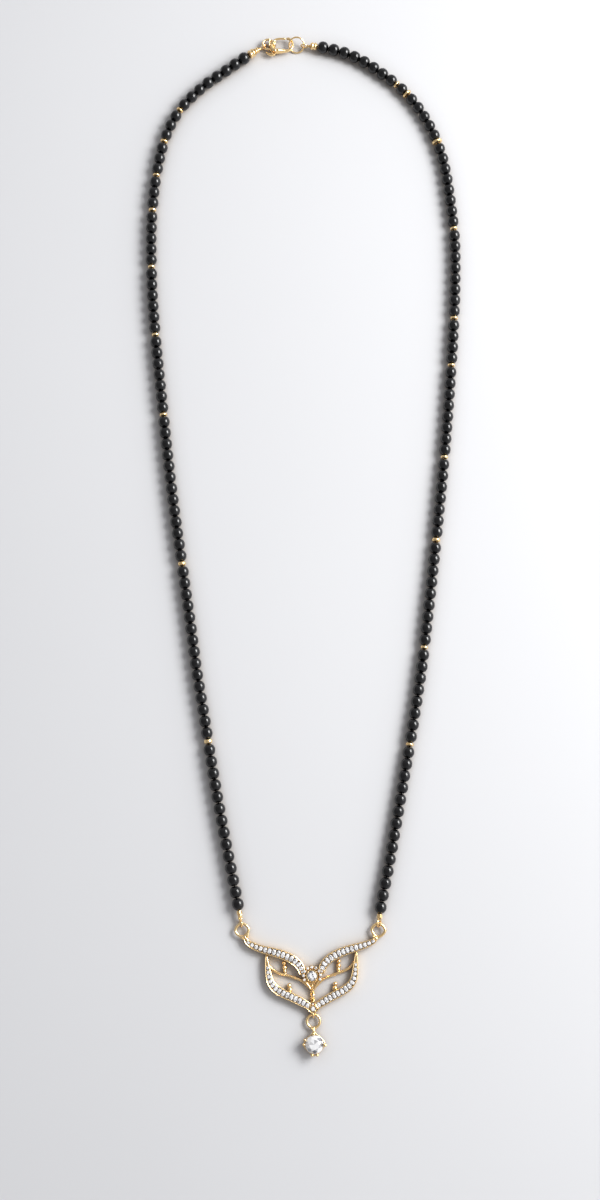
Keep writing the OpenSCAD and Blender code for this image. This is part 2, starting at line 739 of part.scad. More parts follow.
module first_link(plan, roll) {
    w = plan[0];
    end_link(walk_at(w, 0), walk_at(w, pieces_len(plan[4])), string_z(w, 0), plan[4], eyelet_z, roll);
}

module last_link(plan) {
    w = plan[0];
    inner = walk_at(w, w[0] - pieces_len(plan[5]));
    end_link(walk_at(w, w[0]), inner, string_z(w, w[0]), plan[5], clasp_z, 0);
}

// The clasp

module at_clasp() {
    settled() translate([pivot_at[0], pivot_at[1], clasp_z]) children();
}

module slab(points, h) {
    translate([0, 0, -h / 2]) linear_extrude(h) polygon(points);
}

module post(at, d, h) {
    translate([at[0], at[1], 0]) cylinder(d = d, h = h, center = true);
}

// Middle lines from the pivot: [x, y, width]
claw_line = smoothed([
    [0.1, spine_y, spine_w], [1.2, spine_y - 0.05, spine_w], [2.4, spine_y + 0.02, spine_w * 0.9],
    [claw_reach - 1.5, spine_y + 0.12, (spine_w + bowl_w) / 2], [claw_reach - 0.4, spine_y + 0.6, bowl_w],
    [claw_reach, spine_y + 1.5, bowl_w], [claw_reach - 0.02, 0.6, bowl_w], [claw_reach - 0.35, 1.3, bowl_w],
    [claw_reach - 0.8, top_y - 0.05, bowl_w], [nose_x, top_y + 0.02, bowl_w * 0.9]
], 4);
spine_line = smoothed([
    [0.1, spine_y, spine_w], [1, spine_y - 0.04, spine_w], [1.7, spine_y - 0.02, spine_w * 0.97]
], 4);
shoulder_line = smoothed([
    [1.2, spine_y - 0.04, spine_w * 0.98], [2.1, spine_y, spine_w * 0.9], [3, spine_y + 0.1, spine_w * 0.82]
], 4);
heel_line = smoothed([
    [-0.75, 1.35, 0.5], [-0.95, 0.7, 0.5], [-0.97, -0.1, 0.5], [-0.85, -0.9, 0.6], [-0.5, -1.6, 0.8],
    [0.1, spine_y, spine_w]
], 4);
lever_line = smoothed([
    [0, 0, gate_w], [0.12, 0.8, gate_w], [0.55, 1.4, gate_w], [1.3, top_y - 0.03, gate_w]
], 4);
gate_line = smoothed([
    [0.55, 1.4, gate_w], [1.3, top_y - 0.03, gate_w], [2.4, top_y + gate_bow, gate_w],
    [nose_x - bowl_w / 2 - gate_w, top_y - 0.03, gate_w]
], 4);
trigger_line = smoothed([[0, 0, 0.55], [-0.05, -0.9, 0.55], [-0.15, -1.8, 0.55], [-0.3, -2.9, 0.6]], 4);
tab_line = smoothed([
    [-1.9, -2.35, 0.3], [-1.4, -2.7, 0.5], [-0.7, -2.97, 0.62], [0, -3.05, 0.6], [0.55, -3, 0.35]
], 4);

module clasp_body() {
    tail = tail_ring_at - pivot_at;
    at_clasp() color(gold) {
        difference() {
            union() {
                translate([tail[0], tail[1], 0]) torus(tail_ring_r, tail_ring_wire);
                slab(arm_outline(heel_line), clasp_h);
                slab([
                    [slot_wall_x - 0.1, 0.6], [slot_wall_x - 0.1, -1.2], [0.1, -1.6], [0.1, 0.6]
                ], clasp_h);
                post([0, 0], cheek_d, clasp_h);
                post([0.1, spine_y], spine_w, clasp_h);
                slab(arm_outline(spine_line), clasp_h);
                slab(arm_outline(shoulder_line), (clasp_h + bowl_h) / 2);
            }
            slab([
                [slot_wall_x, 3], [slot_wall_x, -0.6], [-1.02, -1.5], [-1.02, -4], [slot_end_x, -4],
                [slot_end_x, 3]
            ], slot_h);
        }
        post([0, 0], pin_d, clasp_h - 0.1);
        difference() {
            slab(arm_outline(claw_line), bowl_h);
            slab([[-2, -4], [slot_end_x, -4], [slot_end_x, 3], [-2, 3]], slot_h);
        }
        post(flat(last(claw_line)), bowl_w * 0.9, bowl_h);
    }
}

module clasp_lever() {
    at_clasp() color(gold) difference() {
        union() {
            post([0, 0], hub_d, lever_h);
            slab(arm_outline(lever_line), lever_h);
            slab(arm_outline(gate_line), bowl_h);
            post(flat(last(gate_line)), gate_w, bowl_h);
            slab(arm_outline(trigger_line), lever_h);
            slab(arm_outline(tab_line), tab_h);
        }
        post([0, 0], pin_d + 2 * pin_gap, clasp_h);
    }
}

module jump_ring() {
    settled() color(gold)
        translate([jump_ring_at[0], jump_ring_at[1], jump_ring_z])
            rotate([jump_ring_tilt, 0, 0]) torus(jump_ring_r, jump_ring_wire);
}

frame();
small_stones(-1);  // small_stones_left
small_stones(1);  // small_stones_right
centre_stone();
tip_stone();
drop_setting();
drop_stone();
first_link(left_plan, end_loop_roll[0]);  // end_link_left
first_link(right_plan, -end_loop_roll[1]);  // end_link_right
beads(left_plan);  // beads_left
beads(right_plan);  // beads_right
spacers(left_plan);  // spacers_left
spacers(right_plan);  // spacers_right
thread(left_plan);  // thread_left
thread(right_plan);  // thread_right
last_link(left_plan);  // clasp_link_left
last_link(right_plan);  // clasp_link_right
clasp_body();
clasp_lever();
jump_ring();
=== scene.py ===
import bpy
import numpy as np
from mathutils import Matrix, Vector


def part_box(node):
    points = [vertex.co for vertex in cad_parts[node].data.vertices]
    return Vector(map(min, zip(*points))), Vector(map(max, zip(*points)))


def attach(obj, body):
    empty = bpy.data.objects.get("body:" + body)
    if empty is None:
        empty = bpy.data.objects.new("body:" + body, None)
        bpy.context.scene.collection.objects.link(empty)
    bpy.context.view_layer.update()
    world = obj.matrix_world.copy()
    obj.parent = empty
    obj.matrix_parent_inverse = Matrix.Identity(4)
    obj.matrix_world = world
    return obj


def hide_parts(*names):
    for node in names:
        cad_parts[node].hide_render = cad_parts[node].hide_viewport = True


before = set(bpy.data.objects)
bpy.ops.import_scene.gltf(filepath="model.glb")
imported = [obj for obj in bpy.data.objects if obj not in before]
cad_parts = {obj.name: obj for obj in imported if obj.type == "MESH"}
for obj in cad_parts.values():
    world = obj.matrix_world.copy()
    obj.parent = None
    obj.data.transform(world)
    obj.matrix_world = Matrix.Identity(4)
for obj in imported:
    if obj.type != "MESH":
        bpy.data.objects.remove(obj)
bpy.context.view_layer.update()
print("frame loaded with", len(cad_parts), "nodes")

mm = 0.001
chance = np.random.default_rng(11)

# Sizes are in millimetres, and places on the surface are from the point under the middle of the picture.
pendant = {
    "laidAt": (3.0, -96.6),      # middle of the centre stone
    "turn": 2.0,                 # degrees, counter-clockwise as it lies
    "eyeletReach": 17.3, "eyeletRise": 11.35, "eyeletBend": 0.6,
    "wingReach": 11.3, "tipDrop": 8.1,
    "height": 1.8,
}

stoneLow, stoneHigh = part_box("centre_stone")
stoneAt = np.array([(stoneLow.x + stoneHigh.x) / 2, (stoneLow.y + stoneHigh.y) / 2]) / mm
middle = np.array(pendant["laidAt"]) - stoneAt       # what the CAD took off to lie over the origin


# Curves

def smoothed(rows, steps):
    # Cubic between rows b and c that leaves b along (c - a) / 2 and reaches c along (d - b) / 2
    p = np.asarray(rows, float)
    q = np.vstack([p[:1], p, p[-1:]])
    a, b, c, d = (v[:, None, :] for v in (q[:-3], q[1:-2], q[2:-1], q[3:]))
    t = (np.arange(steps) / steps)[None, :, None]
    curve = (2 * b + (c - a) * t + (2 * a - 5 * b + 4 * c - d) * t**2 + (3 * b - a - 3 * c + d) * t**3) / 2
    return np.vstack([curve.reshape(-1, p.shape[1]), p[-1:]])


def walkOf(points):
    # Distance to each point: the running sum of the steps, measured in x and y
    points = np.asarray(points, float)
    steps = np.linalg.norm(np.diff(points[:, :2], axis=0), axis=1)
    return np.concatenate([[0], np.cumsum(steps)]), points


def pointAt(walk, s):
    # Straight between the points of the curve, at the distances s
    return np.stack([np.interp(s, walk[0], column) for column in walk[1].T], -1)


def headingAt(walk, s, reach=0.4):
    # Angle of the step from s - reach to s + reach
    step = pointAt(walk, np.minimum(s + reach, walk[0][-1])) - pointAt(walk, np.maximum(s - reach, 0))
    return np.arctan2(step[..., 1], step[..., 0])


def unit(step):
    # Each vector divided by its length
    step = np.asarray(step, float)
    return step / np.linalg.norm(step, axis=-1, keepdims=True)


def angleTo(start, end):
    # Angle of the way from start to end, seen from above
    return np.arctan2(end[1] - start[1], end[0] - start[0])


def circled(angle, radius=1.0, z=0.0):
    # (radius * cos angle, radius * sin angle, z)
    return np.stack(np.broadcast_arrays(radius * np.cos(angle), radius * np.sin(angle), z), -1)


def around(count, first=0.0):
    # Even angles once round, the first one in degrees
    return np.radians(first) + 2 * np.pi * np.arange(count) / count


def cornered(angle, power):
    # Distance to the curve |x|^power + |y|^power = 1 at the angle
    return (np.abs(np.cos(angle))**power + np.abs(np.sin(angle))**power)**(-1 / power)


def between(start, end, count):
    # Even points on the line: start + share * (end - start)
    start = np.asarray(start, float)
    return start + np.linspace(0, 1, count)[:, None] * (np.asarray(end, float) - start)


def wound(line, radius, turns, first=0.0, order=(2, 0, 1)):
    # Points of the line + radius * (cos f, sin f) across it, f growing evenly; the order names the axes
    f = first + 2 * np.pi * turns * np.linspace(0, 1, len(line))
    return line + circled(f, radius)[:, order]


def crowded(length, count):
    # length * (1 - cos(pi * u)) / 2 for even u: close together at both ends
    return length * (1 - np.cos(np.pi * np.linspace(0, 1, count))) / 2


def roundedEnds(s, length, reach):
    # Quarter circle over the reach at each end: sqrt(1 - (1 - q)^2), q the share of the reach passed
    q = np.clip(np.minimum(s, length - s) / reach, 0, 1)
    return np.maximum(np.sqrt(1 - (1 - q)**2), 0.03)


# Closed surfaces: each is a list of points with its faces, a triangle having -1 for its fourth corner

def outward(points, faces):
    # The sum of a . (b x c) over the triangles is six times the volume; a shell with less than none is turned
    corner = points[np.where(faces < 0, faces[:, 2:3], faces)]
    a, b, c, d = (corner[:, i] for i in range(4))
    volume = np.einsum("ij,ij->", a, np.cross(b, c)) + np.einsum("ij,ij->", a, np.cross(c, d))
    if volume < 0:
        triangle = faces[:, 3:4] < 0
        faces = np.where(triangle, faces[:, [0, 2, 1, 3]], faces[:, [0, 3, 2, 1]])
    return points, faces


def shell(grid, loop=False):
    # Cells between each row and the next, joined round; an open end closes on the middle of its row
    rows, columns = grid.shape[:2]
    r = np.arange(rows if loop else rows - 1)[:, None]
    c = np.arange(columns)[None, :]
    down, beside = (r + 1) % rows, (c + 1) % columns
    cell = [r * columns + c, down * columns + c, down * columns + beside, r * columns + beside]
    faces = np.stack(np.broadcast_arrays(*cell), -1).reshape(-1, 4)
    points = grid.reshape(-1, 3)
    if not loop:
        c, beside = c[0], beside[0]
        final = (rows - 1) * columns
        pole = np.full(columns, rows * columns)
        ends = [[pole, c, beside, pole * 0 - 1], [pole + 1, final + beside, final + c, pole * 0 - 1]]
        faces = np.vstack([faces] + [np.stack(end, -1) for end in ends])
        points = np.vstack([points, grid[0].mean(0), grid[-1].mean(0)])
    return outward(points, faces)


def carried(path, profile, up=(0, 0, 1), loop=False):
    # Each profile point (a, b) goes to path + a * side + b * rise, side = along x up and rise = side x along
    along = unit(np.roll(path, -1, 0) - np.roll(path, 1, 0) if loop else np.gradient(path, axis=0))
    side = unit(np.cross(along, up))
    rise = np.cross(side, along)
    profile = np.broadcast_to(profile, (len(path),) + profile.shape[-2:])
    grid = path[:, None] + profile[..., :1] * side[:, None] + profile[..., 1:] * rise[:, None]
    return shell(grid, loop)


def oval(widths, heights, sides, power=2.0):
    # |2a / width|^power + |2b / height|^power = 1, at even angles
    angle = around(sides, 180 / sides)
    a = np.sign(np.cos(angle)) * np.abs(np.cos(angle))**(2 / power)
    b = np.sign(np.sin(angle)) * np.abs(np.sin(angle))**(2 / power)
    widths, heights = np.broadcast_arrays(np.atleast_1d(widths), np.atleast_1d(heights))
    return np.stack([widths[:, None] * a / 2, heights[:, None] * b / 2], -1)


def bar(points, height, z, count, sides, power, roundReach=None):
    # An oval carried at z along rows of [x, y, width], with its ends rounded off
    walk = walkOf(points)
    s = crowded(walk[0][-1], count)
    at = pointAt(walk, s)
    width = at[:, 2]
    reach = width.mean() / 2 if roundReach is None else roundReach
    ends = roundedEnds(s, walk[0][-1], reach) if reach > 0 else 1.0
    heights = height if np.ndim(height) == 0 else np.interp(s / s[-1], *height)
    path = np.column_stack([at[:, :2], np.full(count, z)])
    return carried(path, oval(width * ends, heights * ends, sides, power))


def wire(path, width, sides=12, loop=False, up=(0, 0, 1)):
    # A round wire: circle of the width, even or changing, carried along the path
    return carried(path, oval(width, width, sides), up, loop)


def rod(start, end, width, endWidth, sides=12):
    # A straight wire from start to end, its width changing evenly
    path = between(start, end, 6)
    step = path[-1] - path[0]
    across = (1, 0, 0) if abs(step[0]) < 0.5 * np.linalg.norm(step) else (0, 1, 0)
    return wire(path, np.linspace(width, endWidth, len(path)), sides, up=across)


def ring(at, radius, width, normal=(0, 0, 1), count=64, sides=16, start=0.0, sweep=360.0, flat=1.0):
    # Centre + radius * (cos t * e + sin t * f) for t round the ring, e and f square to its normal
    n = unit(normal)
    e = unit(np.cross(n, [0, 0, 1] if abs(n[2]) < 0.9 else [0, 1, 0]))
    f = np.cross(n, e)
    whole = sweep >= 360
    t = np.radians(start + sweep * np.arange(count) / (count if whole else count - 1))[:, None]
    path = np.asarray(at, float) + radius * (np.cos(t) * e + np.sin(t) * f)
    return carried(path, oval(width, width * flat, sides), n, whole)


def turned(rows, sides=32, loop=False):
    # Rows of (height, radius) spun about Z: (radius * cos t, -radius * sin t, height)
    rows = np.asarray(rows, float)
    return shell(circled(-around(sides), rows[:, 1:], rows[:, :1]), loop)


def ball(rows, sides):
    # Unit ball: (-cos f, sin f) turned, without its two poles
    f = np.pi * np.arange(1, rows + 1) / (rows + 1)
    points, faces = turned(np.stack([-np.cos(f), np.sin(f)], -1), sides)
    points[-2:] = [[0, 0, -1], [0, 0, 1]]
    return points, faces


def facing(direction):
    # Matrix whose columns are side, rise and the direction, so that Z turns onto the direction
    d = unit(direction)
    side = unit(np.cross([0.0, 0.0, 1.0], d))
    return np.stack([side, np.cross(d, side), d], -1)


def placed(shape, turns, places):
    # A copy of the shape for each place: turn . point + place
    points, faces = shape
    turns = np.broadcast_to(turns, (len(places), 3, 3))
    copies = np.einsum("kij,vj->kvi", turns, points) + np.asarray(places, float)[:, None]
    offset = (np.arange(len(places)) * len(points))[:, None, None]
    return copies.reshape(-1, 3), np.where(faces[None] < 0, -1, faces[None] + offset).reshape(-1, 4)


def moved(part, step):
    # point + step
    return part[0] + step, part[1]


def grains(places, radius, stretch=1.0, rows=5, sides=10):
    # Balls of one radius, their height stretched
    return placed(ball(rows, sides), radius * np.diag([1, 1, stretch]), places)


def pad(outline, low, high, soft):
    # The outline drawn in towards its middle as z follows a quarter circle: a plate with a rounded top edge
    outline = np.asarray(outline, float)
    centre = outline.mean(0)
    reach = np.linalg.norm(outline - centre, axis=1).mean()
    turn = np.linspace(0, np.pi / 2, 4)
    scales = np.concatenate([[0.4, 1], 1 - soft / reach * (1 - np.cos(turn)), [0.5]])
    heights = np.concatenate([[low, low], high - soft * (1 - np.sin(turn)), [high]])
    flat = centre + scales[:, None, None] * (outline - centre)
    return shell(np.dstack([flat, np.broadcast_to(heights[:, None], flat.shape[:2])]))


# From the pieces' own places to the row's frame

def settled(part):
    # (point - middle) in metres
    return (part[0] - [middle[0], middle[1], 0]) * mm, part[1]


def spun(points, degrees):
    # Turned about Z
    a = np.radians(degrees)
    return points @ np.array([[np.cos(a), np.sin(a), 0], [-np.sin(a), np.cos(a), 0], [0, 0, 1]])


def onPendant(part):
    # Turned as the pendant lies, and moved to its place
    return settled((spun(part[0], pendant["turn"]) + [*pendant["laidAt"], 0], part[1]))


def onSurface(x, y):
    # The same for one place of the pendant, left in millimetres
    return spun(np.array([[x, y, 0.0]]), pendant["turn"])[0, :2] + pendant["laidAt"]


def newObject(name, data):
    # An object of the scene that holds the data
    made = bpy.data.objects.new(name, data)
    bpy.context.scene.collection.objects.link(made)
    return made


def makePiece(name, parts, material, replaced, sharp=42.0, tones=None, body="necklace"):
    # Joins the shells into one mesh, with a tone from 0 to 1 on each shell, repeated shape or cut facet
    counts = np.array([len(p[0]) for p in parts])
    offsets = np.cumsum(counts) - counts
    points = np.vstack([p[0] for p in parts])
    faces = np.vstack([np.where(p[1] < 0, -1, p[1] + o) for p, o in zip(parts, offsets)])
    corners = faces >= 0
    totals = corners.sum(1)
    mesh = bpy.data.meshes.new(name)
    mesh.vertices.add(len(points))
    mesh.vertices.foreach_set("co", points.astype(np.float32).ravel())
    mesh.loops.add(int(totals.sum()))
    mesh.loops.foreach_set("vertex_index", faces[corners].astype(np.int32))
    mesh.polygons.add(len(faces))
    mesh.polygons.foreach_set("loop_start", (np.cumsum(totals) - totals).astype(np.int32))
    mesh.polygons.foreach_set("loop_total", totals.astype(np.int32))
    mesh.update(calc_edges=True)
    mesh.validate()
    domain = "POINT"
    # On stones one random tone per facet, which their material turns into painted sparkle
    if material == clearStone:
        tones, domain = chance.random(len(faces)), "FACE"
    elif tones is None:
        tones = np.repeat(chance.random(len(parts)), counts)
    mesh.attributes.new("tone", "FLOAT", domain).data.foreach_set("value", tones.astype(np.float32))
    mesh.shade_smooth()
    mesh.set_sharp_from_angle(angle=np.radians(sharp))
    mesh.materials.append(material)
    piece = newObject(name, mesh)
    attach(piece, body)
    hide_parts(*replaced)
    print(name, len(points), "points", len(faces), "faces")


# Camera, light and floor

studio = {
    "distance": 438.9,           # from the surface under the picture's middle, mm
    "elevation": 80.0,           # degrees above the surface, from the drop's side
    "lens": 50.0, "sensor": 36.0,
    "lights": {                  # turn and rise in degrees, distance, width and height in metres, power
        "keyLight": (22.0, 41.0, 0.6, 0.25, 0.36, 4.6),
        "wallLight": (14.0, 33.0, 1.0, 0.8, 1.3, 5.0),
    },
    "sky": 1.0, "skyTone": (1.0, 1.0, 1.03, 1),
    "skyLeft": 0.34, "skyRight": 0.84, "skyTop": 0.68,     # light from each part of the room
    "skyTowards": (0.95, 0.3), "skySpread": 0.75, "skyRing": (0.62, 0.96),
    "floorHalf": 3.0, "floorGrain": 9.0, "floorTone": (0.56, 0.563, 0.574, 1), "floorLighter": 1.03,
    "paintedShadowTone": (0.28, 0.235, 0.19, 1), "paintedShadowReach": 0.005, "paintedShadowShare": 0.85,   # painted shadow: warm brown floor near the gold
}


def aim(thing, place, target):
    # Local -Z looks from the place to the target
    thing.location = place
    thing.rotation_euler = (Vector(target) - Vector(place)).to_track_quat("-Z", "Y").to_euler()


viewed = Vector((-middle[0] * mm, -middle[1] * mm, 0))
rise = np.radians(studio["elevation"])
away = Vector((0, -np.cos(rise), np.sin(rise))) * studio["distance"] * mm
camera = newObject("camera", bpy.data.cameras.new("camera"))
camera.data.lens = studio["lens"]
camera.data.sensor_width = studio["sensor"]
camera.data.clip_start = 0.01
aim(camera, viewed + away, viewed)
bpy.context.scene.camera = camera
bpy.context.scene.view_settings.view_transform = "Standard"


for name, (turn, lift, far, wide, tall, power) in studio["lights"].items():
    # An area light at (cos turn cos lift, sin turn cos lift, sin lift) * far from the viewed point
    t, e = np.radians(turn), np.radians(lift)
    light = bpy.data.lights.new(name, "AREA")
    light.shape = "RECTANGLE"
    light.size, light.size_y = tall, wide
    light.energy = power
    away = Vector((np.cos(t) * np.cos(e), np.sin(t) * np.cos(e), np.sin(e)))
    aim(newObject(name, light), viewed + away * far, viewed)


# Materials

def node(tree, kind, links=None, **settings):
    # A node with its settings; a link is (socket name or number, what feeds it or its value)
    made = tree.nodes.new(kind)
    for key, value in settings.items():
        setattr(made, key, value)
    for key, value in (links or {}).items():
        if isinstance(value, bpy.types.NodeSocket):
            tree.links.new(value, made.inputs[key])
        else:
            made.inputs[key].default_value = value
    return made


def math(tree, operation, *values):
    # What the operation says; MULTIPLY_ADD is the first value times the second, plus the third
    return node(tree, "ShaderNodeMath", dict(enumerate(values)), operation=operation).outputs[0]


def noise(tree, place, scale, detail):
    # Smooth noise from 0 to 1, scale grains to a metre
    links = {"Vector": place, "Scale": scale, "Detail": detail}
    return node(tree, "ShaderNodeTexNoise", links).outputs["Fac"]


def spread(tree, value, low, high, toLow=0.0, toHigh=1.0):
    # Value from low..high carried to toLow..toHigh, held at both ends
    links = dict(enumerate((value, low, high, toLow, toHigh)))
    return node(tree, "ShaderNodeMapRange", links, clamp=True).outputs[0]


def group(name, inputs, outputs):
    # An empty node group with its sockets
    tree = bpy.data.node_groups.new(name, "ShaderNodeTree")
    for label, kind in inputs.items():
        tree.interface.new_socket(name=label, in_out="INPUT", socket_type="NodeSocket" + kind)
    for label, kind in outputs.items():
        tree.interface.new_socket(name=label, in_out="OUTPUT", socket_type="NodeSocket" + kind)
    return tree, tree.nodes.new("NodeGroupInput").outputs, tree.nodes.new("NodeGroupOutput").inputs


# Hairlines are the contour of a stretched noise, smudges a soft one, both out as masks
wearLook = {
    "stretches": ((1.0, 0.16, 0.5), (0.2, 1.0, 0.6)), "lineWidth": 0.006, "lineDullness": 0.15,
    "smudgeSize": 0.3, "smudgeEdge": (0.35, 0.7), "hollowEdge": (0.25, 0.85),
}
wear, given, out = group(
    "surfaceWear",
    {"Vector": "Vector", "Fineness": "Float", "Hairlines": "Float", "Smudges": "Float"},
    {"Height": "Float", "Dullness": "Float", "Patch": "Float"},
)
lines = None
for stretch in wearLook["stretches"]:
    links = {0: given["Vector"], 1: stretch}
    drawn = node(wear, "ShaderNodeVectorMath", links, operation="MULTIPLY").outputs[0]
    off = math(wear, "ABSOLUTE", math(wear, "SUBTRACT", noise(wear, drawn, given["Fineness"], 1.0), 0.5))
    line = spread(wear, off, 0.0, wearLook["lineWidth"], 1.0, 0.0)
    lines = line if lines is None else math(wear, "MAXIMUM", lines, line)
smudgeScale = math(wear, "MULTIPLY", given["Fineness"], wearLook["smudgeSize"])
patch = spread(wear, noise(wear, given["Vector"], smudgeScale, 3.0), *wearLook["smudgeEdge"])
hair = math(wear, "MULTIPLY", lines, given["Hairlines"])
wear.links.new(math(wear, "MULTIPLY", hair, -1.0), out["Height"])
dull = math(wear, "MULTIPLY", patch, given["Smudges"])
wear.links.new(math(wear, "MULTIPLY_ADD", hair, wearLook["lineDullness"], dull), out["Dullness"])
wear.links.new(patch, out["Patch"])

# Hollows are where near surfaces shut out the sky; this mask paints shade into the gold's colour and a
# painted shadow onto the floor
hollow, given, out = group("hollows", {"Reach": "Float"}, {"Hollow": "Float"})
shade = node(hollow, "ShaderNodeAmbientOcclusion", {"Distance": given["Reach"]}, samples=4)
hollow.links.new(spread(hollow, shade.outputs["AO"], *wearLook["hollowEdge"], 1.0, 0.0), out["Hollow"])


def newMaterial(name, **sockets):
    # A Principled shader with its plain numbers on its own sockets
    material = bpy.data.materials.new(name)
    material.use_nodes = True
    tree = material.node_tree
    shader = tree.nodes["Principled BSDF"]
    for label, value in sockets.items():
        shader.inputs[label.replace("_", " ")].default_value = value
    coordinates = node(tree, "ShaderNodeTexCoord").outputs["Object"]
    tone = node(tree, "ShaderNodeAttribute", attribute_name="tone").outputs["Fac"]
    return material, tree, shader, coordinates, tone


def wornBy(tree, place, look):
    # Height and patch of the wear, with the roughness polish + dulled * dullness
    links = {"Vector": place, **look["wear"]}
    worn = node(tree, "ShaderNodeGroup", links, node_tree=wear).outputs
    rough = math(tree, "MULTIPLY_ADD", worn["Dullness"], look["dulled"], look["polish"])
    return worn["Height"], worn["Patch"], rough


def inHollow(tree, reach, share):
    # The share in hollows of the reach, nothing elsewhere: a mask for painted shade
    found = node(tree, "ShaderNodeGroup", {"Reach": reach}, node_tree=hollow).outputs["Hollow"]
    return math(tree, "MULTIPLY", found, share)


def mixed(tree, share, a, b):
    # Colour a to colour b by the share
    return node(tree, "ShaderNodeMix", {0: share, 6: a, 7: b}, data_type="RGBA").outputs[2]


def finished(tree, shader, colour, rough, height=None, distance=0.0):
    # Links a changing colour, roughness and raised height to the shader
    tree.links.new(colour, shader.inputs["Base Color"])
    tree.links.new(rough, shader.inputs["Roughness"])
    if height is not None:
        bump = node(tree, "ShaderNodeBump", {"Height": height, "Distance": distance, "Strength": 1.0})
        tree.links.new(bump.outputs[0], shader.inputs["Normal"])


goldLook = {
    "pale": (1.0, 0.76, 0.42, 1), "rich": (0.95, 0.62, 0.25, 1), "grimeAndShade": (0.20, 0.09, 0.02, 1),
    "polish": 0.16, "dulled": 0.12, "hollowReach": 0.0004, "hollowShare": 0.65, "hollowRough": 0.25,
    "richByPart": 0.5, "richByPatch": 0.3, "ripple": 900.0, "unevenness": 0.00001, "lineDepth": 0.12,
    "wear": {"Fineness": 2600.0, "Hairlines": 0.5, "Smudges": 0.6},
}
look = goldLook
gold, tree, shader, place, tone = newMaterial("polishedGold", Metallic=1.0)
height, patch, rough = wornBy(tree, place, look)
# Dark grime and painted shade: where near surfaces shut out the sky within 0.4 mm, the colour goes towards a
# dark brown and the roughness rises
grimyAndShaded = inHollow(tree, look["hollowReach"], look["hollowShare"])
patchy = math(tree, "MULTIPLY", patch, look["richByPatch"])
clean = mixed(tree, math(tree, "MULTIPLY_ADD", tone, look["richByPart"], patchy), look["pale"], look["rich"])
rough = math(tree, "MULTIPLY_ADD", grimyAndShaded, look["hollowRough"], rough)
raised = math(tree, "MULTIPLY_ADD", height, look["lineDepth"], noise(tree, place, look["ripple"], 1.0))
finished(tree, shader, mixed(tree, grimyAndShaded, clean, look["grimeAndShade"]), rough, raised, look["unevenness"])

beadLook = {
    "deep": (0.0005, 0.0005, 0.0007, 1), "lit": (0.002, 0.0018, 0.0024, 1), "polish": 0.08, "dulled": 0.12,
    "roughByBead": 0.05, "ripple": 520.0, "unevenness": 0.00005, "lineDepth": 0.05,
    "wear": {"Fineness": 1500.0, "Hairlines": 0.35, "Smudges": 0.8},
}
look = beadLook
blackGlass, tree, shader, place, tone = newMaterial("blackGlass", IOR=1.5)
height, _, rough = wornBy(tree, place, look)
rough = math(tree, "MULTIPLY_ADD", tone, look["roughByBead"], rough)
raised = math(tree, "MULTIPLY_ADD", height, look["lineDepth"], noise(tree, place, look["ripple"], 0.0))
finished(tree, shader, mixed(tree, tone, look["deep"], look["lit"]), rough, raised, look["unevenness"])

stoneLook = {
    "clear": (1.0, 1.0, 1.0, 1), "paintedDark": (0.13, 0.13, 0.15, 1), "paintedDarkBelow": 0.06, "clearAbove": 0.42,
    "polish": 0.01, "dulled": 0.05, "wear": {"Fineness": 2400.0, "Hairlines": 0.2, "Smudges": 0.5},
}
look = stoneLook
clearStone, tree, shader, place, tone = newMaterial("clearStone", IOR=2.1, Transmission_Weight=0.3)
_, _, rough = wornBy(tree, place, look)
# Painted sparkle: each facet's random tone paints it from dark grey to white, standing in for dark and bright
# reflections
facet = spread(tree, tone, look["paintedDarkBelow"], look["clearAbove"])
finished(tree, shader, mixed(tree, facet, look["paintedDark"], look["clear"]), rough)

threadLook = {
    "dark": (0.006, 0.006, 0.007, 1), "dusty": (0.05, 0.048, 0.05, 1), "dust": 0.5,
    "dustEdge": (0.45, 0.8), "roughness": (0.6, 0.85), "fineness": 24000.0, "unevenness": 0.00002,
}
look = threadLook
blackThread, tree, shader, place, tone = newMaterial("blackThread", Sheen_Weight=0.3, Sheen_Roughness=0.5)
fibre = noise(tree, place, look["fineness"], 2.0)
fuzz = math(tree, "MULTIPLY", spread(tree, fibre, *look["dustEdge"]), look["dust"])
rough = spread(tree, fibre, 0.3, 0.7, *look["roughness"])
finished(tree, shader, mixed(tree, fuzz, look["dark"], look["dusty"]), rough, fibre, look["unevenness"])

look = studio
pale, tree, shader, place, tone = newMaterial("paleFloor", Specular_IOR_Level=0.25)
grain = noise(tree, place, look["floorGrain"], 3.0)
lighter = tuple(min(c * look["floorLighter"], 1) for c in look["floorTone"])
# Painted shadow: where the gold shuts out the sky within 5 mm, the floor's colour goes towards the warm
# painted shadow tone
under = inHollow(tree, look["paintedShadowReach"], look["paintedShadowShare"])
colour = mixed(tree, under, mixed(tree, grain, look["floorTone"], lighter), look["paintedShadowTone"])
finished(tree, shader, colour, spread(tree, grain, 0.3, 0.7, 0.5, 0.6))

floorMesh = bpy.data.meshes.new("floor")
corners = studio["floorHalf"] * np.array([(-1, -1, 0), (1, -1, 0), (1, 1, 0), (-1, 1, 0)])
floorMesh.from_pydata(corners.tolist(), [], [(0, 1, 2, 3)])
floorMesh.materials.append(pale)
floor = newObject("floor", floorMesh)

